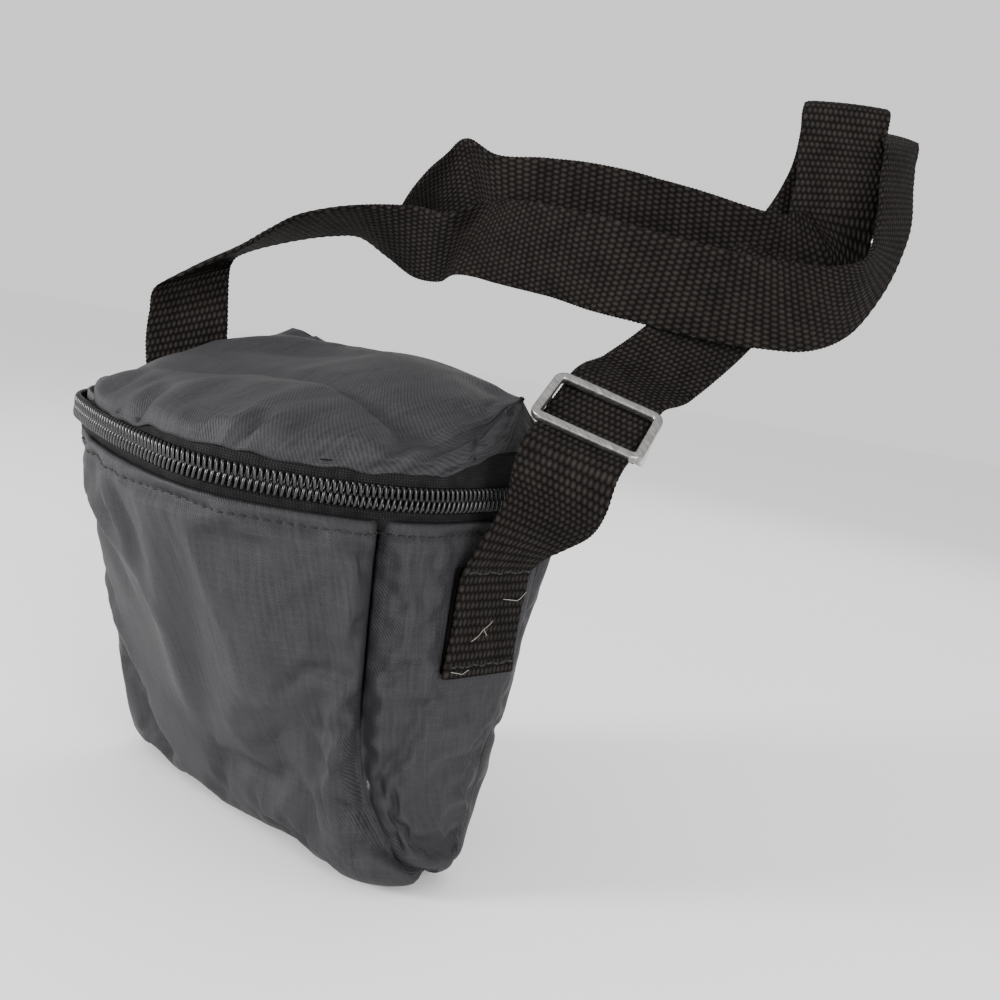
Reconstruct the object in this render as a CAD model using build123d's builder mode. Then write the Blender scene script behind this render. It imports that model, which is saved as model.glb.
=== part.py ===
from build123d import *
import os

os.makedirs("parts", exist_ok=True)

# A small zip-top camera bag: tapered padded body, domed hinged lid, webbing strap with a slide.
# Frame: origin at the centre of the base, +Z up, front of the bag towards -Y. Millimetres.

# Body, outside sizes
BODY_HEIGHT = 98.0
BASE_WIDTH = 116.0
BASE_DEPTH = 34.0
MOUTH_WIDTH = 112.0
MOUTH_DEPTH = 92.0
MOUTH_CENTRE_Y = -7.0  # the mouth reaches further forward than the base
BASE_ROUNDING = 4.0  # horizontal inset of the rolled bottom edge
BASE_ROLL_HEIGHT = 5.0
FRONT_RADIUS_BASE = 11.0
FRONT_RADIUS_MOUTH = 28.0
BACK_RADIUS = 10.0

# Layers of the padded wall, from the outside in
SHELL = 1.0
FOAM = 3.0
LINING = 0.8
BOARD = 1.2
WALL = SHELL + FOAM + LINING

# Zip round the mouth
CHAIN_Z = 104.3
TAPE = 0.6
TAPE_GAP = 0.9  # half the gap between the two tapes
COIL_HEIGHT = 2.4
COIL_PROUD = 0.6  # the coils stand out of the wall by this much
COIL_SPAN = (-COIL_PROUD, SHELL)
COIL_GAP = 0.4  # half the gap between the two coils
HINGE_GAP = 0.2
BINDING = 1.2
STOP = 2.0
LID_BASE_Z = 110.6
ZIP_END_Y = 28.0
SLIDER_Y = 23.0  # where the slider is parked, near the back of the left side
SLIDER_LENGTH = 8.0
SLIDER_HEIGHT = 6.8
PLATE = 1.2
UPPER_LEFT_END_Y = SLIDER_Y - SLIDER_LENGTH / 2 - STOP - 1.0
PIN_RADIUS = 0.4
BAIL_HALF = 2.6
PULL_WIDTH = 4.0
PULL_LENGTH = 14.0

# Lid: level sections of its roof, as height, width, depth, centre in Y and front radius
LID_SECTIONS = (
    (LID_BASE_Z, MOUTH_WIDTH, MOUTH_DEPTH, MOUTH_CENTRE_Y, FRONT_RADIUS_MOUTH),
    (LID_BASE_Z + 7, MOUTH_WIDTH - 2, MOUTH_DEPTH - 12, MOUTH_CENTRE_Y + 5, 26.0),
    (LID_BASE_Z + 15, MOUTH_WIDTH - 6, MOUTH_DEPTH - 34, MOUTH_CENTRE_Y + 14, 20.0),
    (LID_BASE_Z + 23, MOUTH_WIDTH - 14, MOUTH_DEPTH - 64, MOUTH_CENTRE_Y + 21, 12.0),
)

# Webbing
WEB = 25.0
WEB_THICK = 1.6
LOOP_THICK = 1.3
LOOP_LEG = 11.0
FOOT_X = 57.4  # inner face of the webbing sewn on a gusset
FOOT_LOW = 57.0
FOOT_HIGH = 86.0
RIGHT_FOOT_Y = 5.0
LEFT_FOOT_Y = -7.0
STITCH = 0.4
STITCH_PITCH = 2.5
STITCH_COUNT = 9

# Slide on the strap: its centre, the strap's direction through it, and the direction across
SLIDE_CENTRE = Vector(73, 18, 127)
SLIDE_ALONG = Vector(-0.27, 0.775, 0.573).normalized()
SLIDE_ACROSS = Vector(0.851, 0.47, -0.234).normalized()
SLIDE_PLANE = Plane(origin=SLIDE_CENTRE, x_dir=SLIDE_ACROSS, z_dir=SLIDE_ACROSS.cross(SLIDE_ALONG))
SLIDE_WIDTH = 31.0
SLIDE_LENGTH = 20.0
SLIDE_BAR = 2.6
SLIDE_THICK = 2.4
SLIDE_CLEAR = 0.2  # between the webbing and the bars
BAR_RADIUS = 1.3
BAR_DROP = WEB_THICK / 2 + SLIDE_CLEAR + LOOP_THICK + 0.15 + BAR_RADIUS  # its axis below the webbing's middle
STRAIGHT = 18.0  # the webbing runs straight this far each way from the slide's centre

# Ribbon stations: centre of the webbing, direction across it, and width there
SHORT_STRAP = (
    ((60.4, 5, 78), (0, 1, 0), WEB),
    ((60.5, 5, 84), (0, 1, 0), WEB),
    ((62, 7, 89), (0.05, 1, -0.1), WEB),
    ((65.5, 9, 95), (0.2, 0.95, -0.25), WEB),
    ((71, 8, 101.5), (0.45, 0.82, -0.33), WEB),
    ((76, 4, 109), (0.72, 0.62, -0.3), WEB),
    (SLIDE_CENTRE - SLIDE_ALONG * STRAIGHT, SLIDE_ACROSS, WEB),
    (SLIDE_CENTRE + SLIDE_ALONG * STRAIGHT, SLIDE_ACROSS, WEB),
    ((64, 61, 146), (0.7, 0.53, -0.48), WEB),
    ((62, 85, 163), (0.67, 0.5, -0.56), WEB),
    ((64, 111, 187), (0.65, 0.5, -0.55), WEB),
    ((65.5, 124, 208), (0.68, 0.65, -0.3), WEB),
    ((65.5, 127, 226), (0.74, 0.66, 0.08), WEB),
    ((66.5, 124, 230), (0.74, 0.66, 0.09), WEB),
    ((69, 120, 228), (0.74, 0.66, 0.1), WEB),
    ((73, 116, 214), (0.67, 0.74, 0.03), WEB),
    ((76, 114, 199), (0.67, 0.74, 0), WEB),
    ((79, 117, 183), (0.474, 0.523, -0.707), WEB * 2**0.5),
    ((66, 102, 181), (0, 0.1, -1), WEB),
    ((50, 84, 183), (0, 0.15, -1), WEB),
    ((28, 66, 186), (0, 0.1, -1), WEB),
    ((7, 52, 184), (-0.1, 0.2, -0.97), WEB),
    ((-10, 50, 190), (0.2, 0.4, -0.88), WEB),
    ((-22, 50, 183), (-0.05, 0.77, -0.64), WEB),
    ((-36, 57, 173), (-0.1, 0.8, -0.6), WEB),
)
LONG_STRAP = (
    ((-60.4, -7, 78), (0, 1, 0), WEB),
    ((-60.5, -7, 84), (0, 1, 0), WEB),
    ((-64, -8, 98), (0.1, 1, 0), WEB),
    ((-69, -9, 116), (0.5, 0.86, 0.1), WEB),
    ((-71, -10, 137), (0.45, 0.89, 0.1), WEB),
    ((-71, -6, 148), (0, 0.95, 0.3), WEB),
    ((-67, 7, 157), (-0.55, 0.8, -0.2), WEB),
    ((-62, 20, 167), (-0.7, 0.66, -0.25), WEB),
    ((-53, 33, 171), (-0.65, 0.65, -0.4), WEB),
    ((-40, 43, 169), (-0.33, 0.56, -0.76), WEB),
    ((-27, 50, 168), (-0.3, 0.45, -0.83), WEB),
    ((-3, 48, 172), (0, 0.16, -0.99), WEB),
    ((28, 45, 169), (0, 0, -1), WEB),
    ((58, 50, 166), (-0.1, 0.2, -0.97), WEB),
    ((80, 68, 164), (-0.06, 0.33, -0.94), WEB),
    ((91, 88, 166), (-0.1, 0.6, -0.8), WEB),
    ((97, 103, 177), (-0.2, 0.85, -0.5), WEB),
    ((97, 119, 195), (-0.1, 0.91, -0.4), WEB),
    ((91, 136, 213), (0.2, 0.93, -0.3), WEB),
    ((82, 146, 221), (0.5, 0.86, -0.1), WEB),
    ((72, 147, 214), (0.7, 0.7, -0.15), WEB),
    ((64, 137, 196), (0.68, 0.62, -0.4), WEB),
    ((60, 112, 178), (0.67, 0.5, -0.56), WEB),
    ((59, 86, 154), (0.7, 0.53, -0.48), WEB),
    ((58, 62, 138), (0.8, 0.5, -0.35), WEB),
)
LONG_STRAP_TAIL = (24.0, 8.0)  # its last straight run under the slide's loop, from the slide's centre
TAIL_DROP = BAR_DROP + BAR_RADIUS + 0.15 + LOOP_THICK + SLIDE_CLEAR + WEB_THICK / 2


def level_at(z):
    """Width, depth, centre Y and front radius of the body's outside at a height."""
    t = z / BODY_HEIGHT
    width = BASE_WIDTH + (MOUTH_WIDTH - BASE_WIDTH) * t
    depth = BASE_DEPTH + (MOUTH_DEPTH - BASE_DEPTH) * t
    radius = FRONT_RADIUS_BASE + (FRONT_RADIUS_MOUTH - FRONT_RADIUS_BASE) * t
    return width, depth, MOUTH_CENTRE_Y * t, radius


def outline(z, width, depth, centre_y, front_radius, back_radius):
    """A rectangle on a level plane with rounder corners at the front than at the back."""
    with BuildSketch(Plane.XY.offset(z)) as sketch:
        with Locations((0, centre_y)):
            Rectangle(width, depth)
        fillet(sketch.vertices().group_by(Axis.Y)[0], front_radius)
        fillet(sketch.vertices().group_by(Axis.Y)[-1], back_radius)
    return sketch.sketch


def body_outline(z, inset):
    """The body's outside outline at a height, moved in by an inset."""
    width, depth, centre_y, radius = level_at(z)
    return outline(z, width - 2 * inset, depth - 2 * inset, centre_y, radius - inset, BACK_RADIUS - inset)


def mouth_outline(z, inset):
    """The outline of the straight band round the mouth, moved in by an inset."""
    width = MOUTH_WIDTH - 2 * inset
    depth = MOUTH_DEPTH - 2 * inset
    return outline(z, width, depth, MOUTH_CENTRE_Y, FRONT_RADIUS_MOUTH - inset, BACK_RADIUS - inset)


def body_block(inset, floor):
    """The solid inside the body's outside surface, moved in by an inset and cut off at a floor."""
    with BuildPart() as block:
        add(body_outline(floor, inset + BASE_ROUNDING))
        add(body_outline(floor + BASE_ROLL_HEIGHT, inset))
        add(body_outline(BODY_HEIGHT, inset))
        loft(ruled=True)
    return block.part


def lid_block(inset):
    """The solid inside the lid's outside surface, moved in and down by an inset."""
    with BuildPart() as block:
        for z, width, depth, centre_y, radius in LID_SECTIONS:
            level = max(z - inset, LID_BASE_Z)
            corner = (radius - inset, BACK_RADIUS - inset)
            add(outline(level, width - 2 * inset, depth - 2 * inset, centre_y, *corner))
        loft(ruled=True)
    return block.part


def ring(low, high, outer, inner):
    """A closed band round the mouth between two heights and two insets."""
    with BuildPart() as band:
        add(mouth_outline(low, outer))
        extrude(amount=high - low)
        add(mouth_outline(low, inner))
        extrude(amount=high - low, mode=Mode.SUBTRACT)
    return band.part


def seam_plane(y_mouth, y_base):
    """A plane along X that meets the mouth and the base at two Y values; its normal is to the back."""
    return Plane(
        origin=(0, y_mouth, BODY_HEIGHT), x_dir=(1, 0, 0), z_dir=(0, BODY_HEIGHT, y_base - y_mouth)
    )


def ribbon(stations, thickness):
    """Webbing that runs through a list of stations, made as one straight-sided length after another."""
    centres = [Vector(*station[0]) for station in stations]
    last = len(centres) - 1
    sections = []
    for i, (_, across, width) in enumerate(stations):
        ahead = centres[min(i + 1, last)] - centres[max(i - 1, 0)]
        wide = Vector(*across).normalized()
        facing = ahead - wide * ahead.dot(wide)
        with BuildSketch(Plane(origin=centres[i], x_dir=wide, z_dir=facing)) as section:
            Rectangle(width, thickness)
        sections.append(section.sketch)
    with BuildPart() as strip:
        for start, end in zip(sections, sections[1:]):
            add(start)
            add(end)
            loft(ruled=True)
    return strip.part


def write(piece, name):
    """Labels a finished piece and writes it as one STEP file."""
    piece.part.label = name
    export_step(piece.part, f"parts/{name}.step")


FRONT_SEAM = seam_plane(-25.0, -9.0)
BACK_SEAM = seam_plane(29.0, 9.0)

# Padded walls: an outer cloth layer and a foam layer, each in a front, a back and two side pieces
for layer, outer, inner in (("panel", 0.0, SHELL), ("foam", SHELL, SHELL + FOAM)):
    for place in ("front", "back", "left", "right"):
        with BuildPart() as wall:
            add(body_block(outer, outer))
            add(body_block(inner, outer), mode=Mode.SUBTRACT)
            if place == "front":
                split(bisect_by=FRONT_SEAM, keep=Keep.BOTTOM)
            else:
                split(bisect_by=FRONT_SEAM, keep=Keep.TOP)
            if place == "back":
                split(bisect_by=BACK_SEAM, keep=Keep.TOP)
            elif place != "front":
                split(bisect_by=BACK_SEAM, keep=Keep.BOTTOM)
                split(bisect_by=Plane.YZ, keep=Keep.TOP if place == "right" else Keep.BOTTOM)
            split(bisect_by=Plane.XY.offset(inner), keep=Keep.TOP)
        side = place in ("left", "right")
        write(wall, f"{place}_gusset" if side and layer == "panel" else f"{place}_{layer}")

# Base: cloth, foam and a stiff board
for name, low, high, inset in (
    ("base_panel", 0.0, SHELL, 0.0),
    ("base_foam", SHELL, SHELL + FOAM, SHELL),
):
    with BuildPart() as base:
        add(body_block(inset, low))
        split(bisect_by=Plane.XY.offset(high), keep=Keep.BOTTOM)
    write(base, name)

BOARD_FLOOR = SHELL + FOAM
with BuildPart() as base_board:
    add(body_outline(BOARD_FLOOR, BOARD_FLOOR + BASE_ROUNDING + 0.2))
    extrude(amount=BOARD)
write(base_board, "base_board")

# Lining: a thin tub inside the foam, with its floor on the board
LINING_FLOOR = BOARD_FLOOR + BOARD
with BuildPart() as body_lining:
    add(body_block(SHELL + FOAM, BOARD_FLOOR))
    add(body_block(WALL, BOARD_FLOOR), mode=Mode.SUBTRACT)
    split(bisect_by=Plane.XY.offset(LINING_FLOOR + LINING), keep=Keep.TOP)
with BuildPart() as lining_floor:
    add(body_block(SHELL + FOAM, BOARD_FLOOR))
    split(bisect_by=Plane.XY.offset(LINING_FLOOR), keep=Keep.TOP)
    split(bisect_by=Plane.XY.offset(LINING_FLOOR + LINING), keep=Keep.BOTTOM)
write(body_lining, "body_lining")
write(lining_floor, "lining_floor")

# Bindings over the raw edges of the mouth and of the lid
with BuildPart() as mouth_binding:
    add(ring(BODY_HEIGHT, BODY_HEIGHT + BINDING, SHELL + TAPE + 0.2, WALL))
write(mouth_binding, "mouth_binding")
with BuildPart() as lid_binding:
    add(ring(LID_BASE_Z - BINDING, LID_BASE_Z, SHELL + TAPE + 0.2, WALL))
write(lid_binding, "lid_binding")

# Zip tapes and coils, open at the back, and shorter on the lid where the slider is parked
for name, low, high, outer, inner, left_end in (
    ("lower_zip_tape", BODY_HEIGHT, CHAIN_Z - TAPE_GAP, SHELL, SHELL + TAPE, ZIP_END_Y),
    ("upper_zip_tape", CHAIN_Z + TAPE_GAP, LID_BASE_Z, SHELL, SHELL + TAPE, UPPER_LEFT_END_Y),
    ("lower_zip_coil", CHAIN_Z - COIL_GAP - COIL_HEIGHT, CHAIN_Z - COIL_GAP, *COIL_SPAN, ZIP_END_Y),
    ("upper_zip_coil", CHAIN_Z + COIL_GAP, CHAIN_Z + COIL_GAP + COIL_HEIGHT, *COIL_SPAN, UPPER_LEFT_END_Y),
):
    with BuildPart() as strip:
        add(ring(low, high, outer, inner))
        split(bisect_by=Plane.XZ.offset(-ZIP_END_Y), keep=Keep.TOP)
        with Locations((-MOUTH_WIDTH / 2, left_end + 50, CHAIN_Z)):
            Box(20, 100, 40, mode=Mode.SUBTRACT)
    write(strip, name)

# Metal stops crimped on the coil ends
for name, z, left_end in (
    ("lower_zip_stops", CHAIN_Z - COIL_GAP - COIL_HEIGHT / 2, ZIP_END_Y),
    ("upper_zip_stops", CHAIN_Z + COIL_GAP + COIL_HEIGHT / 2, UPPER_LEFT_END_Y),
):
    with BuildPart() as stops:
        for side, end in ((-1, left_end), (1, ZIP_END_Y)):
            with Locations((side * (MOUTH_WIDTH / 2 + COIL_PROUD - STOP / 2), end + STOP / 2, z)):
                Box(STOP, STOP, COIL_HEIGHT - 0.2)
    write(stops, name)

# Cloth hinge along the back: its lower half is on the body, its upper half on the lid
for name, low, high in (
    ("back_hinge_band", BODY_HEIGHT, CHAIN_Z - HINGE_GAP),
    ("lid_back_band", CHAIN_Z + HINGE_GAP, LID_BASE_Z),
):
    with BuildPart() as band:
        add(ring(low, high, 0.0, SHELL))
        split(bisect_by=Plane.XZ.offset(-ZIP_END_Y - STOP - 0.2), keep=Keep.BOTTOM)
    write(band, name)

# Lid: cloth crown, foam and lining, one inside the other
for name, outer, inner in (
    ("lid_crown", 0.0, SHELL),
    ("lid_foam", SHELL, SHELL + FOAM),
    ("lid_lining", SHELL + FOAM, WALL),
):
    with BuildPart() as lid_layer:
        add(lid_block(outer))
        add(lid_block(inner), mode=Mode.SUBTRACT)
    write(lid_layer, name)

# Zip slider on the left side: two plates joined by a web between the coils, and a bail for the pull
SIDE_X = -MOUTH_WIDTH / 2
PIN_X = SIDE_X - COIL_PROUD - 0.1 - PLATE - 1.1
with BuildPart() as zip_slider:
    with Locations((SIDE_X - COIL_PROUD - 0.1 - PLATE / 2, SLIDER_Y, CHAIN_Z)):
        Box(PLATE, SLIDER_LENGTH, SLIDER_HEIGHT)
    with Locations((SIDE_X + SHELL + TAPE + 0.1 + PLATE / 2, SLIDER_Y, CHAIN_Z)):
        Box(PLATE, SLIDER_LENGTH, SLIDER_HEIGHT)
    with Locations((SIDE_X + 0.5, SLIDER_Y, CHAIN_Z)):
        Box(4.0, SLIDER_LENGTH - 3, 0.4)
    for z in (-BAIL_HALF, BAIL_HALF):
        with Locations((PIN_X + 0.45, SLIDER_Y, CHAIN_Z + z)):
            Box(1.7, 1.6, 0.6)
    with Locations((PIN_X, SLIDER_Y, CHAIN_Z)):
        Cylinder(PIN_RADIUS, 2 * BAIL_HALF)
write(zip_slider, "zip_slider")

with BuildPart() as zip_pull:
    with Locations((PIN_X, SLIDER_Y, CHAIN_Z)):
        Cylinder(PIN_RADIUS + 0.5, PULL_WIDTH)
    with Locations((PIN_X, SLIDER_Y + PULL_LENGTH / 2, CHAIN_Z)):
        Box(1.0, PULL_LENGTH, PULL_WIDTH)
    with Locations((PIN_X, SLIDER_Y + PULL_LENGTH, CHAIN_Z)):
        Cylinder(PULL_WIDTH / 2, 1.0, rotation=(0, 90, 0))
    with Locations((PIN_X, SLIDER_Y, CHAIN_Z)):
        Cylinder(PIN_RADIUS + 0.06, PULL_WIDTH, mode=Mode.SUBTRACT)
    with Locations((PIN_X, SLIDER_Y + PULL_LENGTH, CHAIN_Z)):
        Cylinder(1.0, 2.0, rotation=(0, 90, 0), mode=Mode.SUBTRACT)
write(zip_pull, "zip_pull")

# Webbing sewn flat on the gussets, with its rows of thread
for side, name, foot_y in ((1, "right", RIGHT_FOOT_Y), (-1, "left", LEFT_FOOT_Y)):
    with BuildPart() as foot:
        with Locations((side * (FOOT_X + WEB_THICK / 2), foot_y, (FOOT_LOW + FOOT_HIGH) / 2)):
            Box(WEB_THICK, WEB, FOOT_HIGH - FOOT_LOW)
    write(foot, f"{name}_strap_foot")
    with BuildPart() as thread:
        thread_x = side * (FOOT_X + WEB_THICK + STITCH / 2)
        for row in (FOOT_LOW + 3, FOOT_HIGH - 12):
            with Locations((thread_x, foot_y, row)):
                with GridLocations(1, STITCH_PITCH, 1, STITCH_COUNT):
                    Box(STITCH, STITCH_PITCH * 0.7, STITCH)
    write(thread, f"{name}_foot_stitching")

# The two halves of the shoulder strap
with BuildPart() as short_strap:
    add(ribbon(SHORT_STRAP, WEB_THICK))
write(short_strap, "short_strap")


def under_slide(along):
    """A point under the slide, on the line of the long strap's straight end."""
    return SLIDE_CENTRE + SLIDE_ALONG * along - SLIDE_PLANE.z_dir * TAIL_DROP


TAIL = tuple((under_slide(along), SLIDE_ACROSS, WEB) for along in LONG_STRAP_TAIL)
with BuildPart() as long_strap:
    add(ribbon(LONG_STRAP + TAIL, WEB_THICK))
write(long_strap, "long_strap")

# Slide: a flat frame over the webbing, with lugs that carry the bar under it
with BuildPart() as slide_frame:
    with BuildSketch(SLIDE_PLANE.offset(WEB_THICK / 2 + SLIDE_CLEAR)):
        RectangleRounded(SLIDE_WIDTH, SLIDE_LENGTH, 3.0)
        Rectangle(SLIDE_WIDTH - 2 * SLIDE_BAR, SLIDE_LENGTH - 2 * SLIDE_BAR, mode=Mode.SUBTRACT)
    extrude(amount=SLIDE_THICK)
    with BuildSketch(SLIDE_PLANE.offset(-BAR_DROP - BAR_RADIUS - 0.4)):
        with GridLocations(SLIDE_WIDTH - SLIDE_BAR, 1, 2, 1):
            Rectangle(SLIDE_BAR, 2 * BAR_RADIUS + 1.6)
    extrude(amount=BAR_DROP + BAR_RADIUS + 0.4 + WEB_THICK / 2 + SLIDE_CLEAR)
    BAR_PLANE = Plane(
        origin=SLIDE_CENTRE - SLIDE_PLANE.z_dir * BAR_DROP, x_dir=SLIDE_ALONG, z_dir=SLIDE_ACROSS
    )
    with BuildSketch(BAR_PLANE.offset(-SLIDE_WIDTH)):
        Circle(BAR_RADIUS)
    extrude(amount=2 * SLIDE_WIDTH, mode=Mode.SUBTRACT)
write(slide_frame, "slide_frame")

with BuildPart() as slide_bar:
    with BuildSketch(BAR_PLANE.offset(-SLIDE_WIDTH / 2)):
        Circle(BAR_RADIUS)
    extrude(amount=SLIDE_WIDTH)
write(slide_bar, "slide_bar")

# Loop of the long strap round the bar, folded back on itself and sewn
with BuildPart() as strap_loop:
    with BuildSketch(BAR_PLANE.offset(-WEB / 2)):
        Circle(BAR_RADIUS + 0.15 + LOOP_THICK)
        with Locations((LOOP_LEG / 2, 0)):
            Rectangle(LOOP_LEG, 2 * (BAR_RADIUS + 0.15 + LOOP_THICK))
        Circle(BAR_RADIUS + 0.15, mode=Mode.SUBTRACT)
        with Locations((LOOP_LEG / 2, 0)):
            Rectangle(LOOP_LEG, 2 * (BAR_RADIUS + 0.15), mode=Mode.SUBTRACT)
    extrude(amount=WEB)
write(strap_loop, "strap_loop")
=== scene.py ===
import math

import bpy
import numpy as np
from mathutils import Matrix, Vector


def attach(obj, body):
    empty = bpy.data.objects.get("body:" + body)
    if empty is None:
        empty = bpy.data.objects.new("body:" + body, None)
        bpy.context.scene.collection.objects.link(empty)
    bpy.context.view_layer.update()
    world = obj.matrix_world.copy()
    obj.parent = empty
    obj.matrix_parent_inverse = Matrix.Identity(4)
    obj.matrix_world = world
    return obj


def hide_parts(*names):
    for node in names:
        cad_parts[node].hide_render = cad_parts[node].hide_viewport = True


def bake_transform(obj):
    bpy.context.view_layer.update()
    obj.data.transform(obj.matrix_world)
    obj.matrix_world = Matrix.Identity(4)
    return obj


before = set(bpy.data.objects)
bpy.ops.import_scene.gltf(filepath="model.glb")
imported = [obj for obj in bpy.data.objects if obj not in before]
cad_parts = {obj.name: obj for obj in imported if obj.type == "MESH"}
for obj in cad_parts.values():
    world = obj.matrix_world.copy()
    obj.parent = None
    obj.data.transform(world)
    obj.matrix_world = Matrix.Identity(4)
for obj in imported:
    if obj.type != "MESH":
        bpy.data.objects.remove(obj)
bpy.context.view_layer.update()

# A small zip-top camera bag. Lengths are in millimetres, in the CAD frame, until a mesh is made.
MM = 0.001

# ---------------------------------------------------------------- driving sizes
TOP = 98.6  # the body's height
MOUTH = dict(width=111.5, depth=92.5, centre_y=-7.0, left=15.0, right=46.0, bow=10.0)
BASE = dict(width=122.1, depth=30.7, centre_y=-1.6, left=12.2, right=12.2, bow=0.0)
BACK_RADIUS, BOTTOM_ROUNDING = 10.0, 8.2
TILT_X, TILT_Y = -0.068, 0.0515  # the mouth sags to the right and to the front
CHAIN_Z, LID_Z = 104.4, 110.3
RIDGE_Y, RIDGE_Z, RIDGE_FALL = 18.0, 131.6, -0.09
CLOTH = 0.9
WEB, WEB_THICK = 25.0, 1.6
COIL_PITCH, COIL_HALF, COIL_DEPTH, COIL_WIRE = 1.5, 1.3, 0.85, 0.46
SLIDER_Y = 23.0
OUTLINE_STEPS = 48
BAG_MIDDLE = (0, 0, 60)


def smooth(low, high, value):
    """0 below low, 1 above high, and a smooth step between."""
    t = np.clip((np.asarray(value, float) - low) / (high - low), 0, 1)
    return t * t * (3 - 2 * t)


def bump(value, centre, width):
    return np.exp(-(((value - centre) / width) ** 2))


def mix(a, b, t):
    return a + (b - a) * t


def unit(vectors):
    return vectors / np.maximum(np.linalg.norm(vectors, axis=-1, keepdims=True), 1e-9)


# ---------------------------------------------------------------- the bag's outline at a height
def sagged(points, amount):
    """Points with the mouth's tilt added; the left side, where the slider runs, stays level."""
    x, y = points[..., 0], points[..., 1] - MOUTH["centre_y"]
    y = mix(y, np.minimum(y, -12.0), smooth(20, 56, -x))
    out = points.copy()
    out[..., 2] += amount * (TILT_X * x + TILT_Y * y)
    return out


def outline(t, inset=0.0):
    """The closed outline at body level t (0 base, 1 mouth), from the back's middle round by the left."""
    size = {k: mix(BASE[k], MOUTH[k], t) for k in MOUTH}
    half_x = size["width"] / 2 - inset
    half_y = size["depth"] / 2 - inset * mix(0.7, 1.0, smooth(0.1, 0.3, t))
    back, left, right = (min(radius, half_y - 0.5) for radius in (BACK_RADIUS, size["left"], size["right"]))
    points = [(0.0, half_y)]
    for sx, sy, radius, start in ((-1, 1, back, 90), (-1, -1, left, 180), (1, -1, right, 270), (1, 1, back, 0)):
        cx, cy = sx * (half_x - radius), sy * (half_y - radius)
        for angle in np.radians(np.linspace(start, start + 90, OUTLINE_STEPS)):
            points.append((cx + radius * math.cos(angle), cy + radius * math.sin(angle)))
    points = np.array(points + [(0.0, half_y)])
    runs = [np.linspace(a, b, 9)[:-1] for a, b in zip(points, points[1:])]
    points = np.concatenate(runs + [points[-1:]])
    front = np.clip(-points[:, 1] / half_y, 0, 1) ** 0.5
    points[:, 1] -= size["bow"] * np.clip(1 - (points[:, 0] / half_x) ** 2, 0, 1) * front
    points[:, 1] += size["centre_y"]
    return points


def arc_lengths(points):
    return np.concatenate([[0], np.cumsum(np.linalg.norm(np.diff(points, axis=0), axis=1))])


def front_seam_y(t):
    """The gusset runs to a point at the base, so its seams come together there."""
    return -23.5 - 4.2 * t + 28 * math.exp(-t / 0.13)


def back_seam_y(t):
    return 8.0 + 21.0 * t


class Level:
    """One level outline with the places of its four seams, by arc length."""

    def __init__(self, t, inset=0.0):
        self.points = outline(t, inset)
        self.arc = arc_lengths(self.points)
        x, y = self.points.T
        left = slice(0, int(np.argmin(np.where(x < 0, y, 1e9))) + 1)
        front, back = front_seam_y(t), back_seam_y(t)
        self.left_back, self.left_front = (np.interp(-seam, -y[left], self.arc[left]) for seam in (back, front))
        right = slice(int(np.argmax(x > x.max() - 1e-6)) - 9 * OUTLINE_STEPS, len(x))
        keep = x[right] > 0
        side_y, side_arc = y[right][keep], self.arc[right][keep]
        low = int(np.argmin(side_y))
        run = slice(low, low + int(np.argmax(side_y[low:])) + 1)
        side_y, side_arc = side_y[run], side_arc[run]
        self.right_front, self.right_back = (np.interp(seam, side_y, side_arc) for seam in (front, back))
        middle = slice(len(x) // 4, 3 * len(x) // 4)
        self.front_middle = np.interp(0.0, x[middle], self.arc[middle])

    def at(self, arc):
        arc = np.mod(arc, self.arc[-1])
        return np.stack([np.interp(arc, self.arc, self.points[:, k]) for k in (0, 1)], -1)


def bottom_inset(z):
    return 0.0 if z >= BOTTOM_ROUNDING else (
        BOTTOM_ROUNDING - math.sqrt(max(BOTTOM_ROUNDING**2 - (BOTTOM_ROUNDING - z) ** 2, 0)))


SPANS = {
    "left_gusset": lambda v: (v.left_back, v.left_front),
    "front_panel": lambda v: (v.left_front, v.right_front),
    "right_gusset": lambda v: (v.right_front, v.right_back),
    "back_panel": lambda v: (v.right_back, v.arc[-1] + v.left_back),
}


def wall_grid(place, heights, columns, inset=0.0):
    """Points of one wall panel, rows from the top down and columns along the bag, with its flat sizes."""
    rows, flat = [], []
    for z in heights:
        level = Level(z / TOP, inset + bottom_inset(z))
        start, end = SPANS[place](level)
        arc = start + (end - start) * np.asarray(columns)
        height = np.full(len(arc), z)
        rows.append(np.c_[level.at(arc), height])
        flat.append(np.c_[arc - (level.front_middle if place == "front_panel" else start), height])
    points = np.array(rows)
    return sagged(points, np.clip(points[..., 2] / TOP, 0, 1) ** 2), np.array(flat)


def arc_at(level, y, side):
    """Arc length where the outline passes a Y on its left or right side."""
    xs, ys = level.points.T
    lowest = int(np.argmin(ys))
    half = slice(0, lowest + 1) if side == "left" else slice(lowest, len(xs))
    sign = -1 if side == "left" else 1
    return float(np.interp(sign * y, sign * ys[half], level.arc[half]))


def inward(xy):
    """Unit directions into the bag, in plan, along a run of outline points."""
    ahead = np.gradient(xy, axis=0)
    return unit(np.stack([-ahead[:, 1], ahead[:, 0]], -1))


# ---------------------------------------------------------------- meshes
def make_object(name, points, faces, material, loop_uv=None):
    mesh = bpy.data.meshes.new(name)
    points = np.asarray(points, float).reshape(-1, 3) * MM
    mesh.from_pydata(points.tolist(), [], [list(map(int, f)) for f in faces])
    if loop_uv is not None:
        layer = mesh.uv_layers.new(name="flat")
        layer.data.foreach_set("uv", np.asarray(loop_uv, np.float32).ravel())
    mesh.materials.append(material)
    mesh.validate()
    mesh.shade_smooth()
    obj = bpy.data.objects.new(name, mesh)
    bpy.context.scene.collection.objects.link(obj)
    return obj


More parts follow.
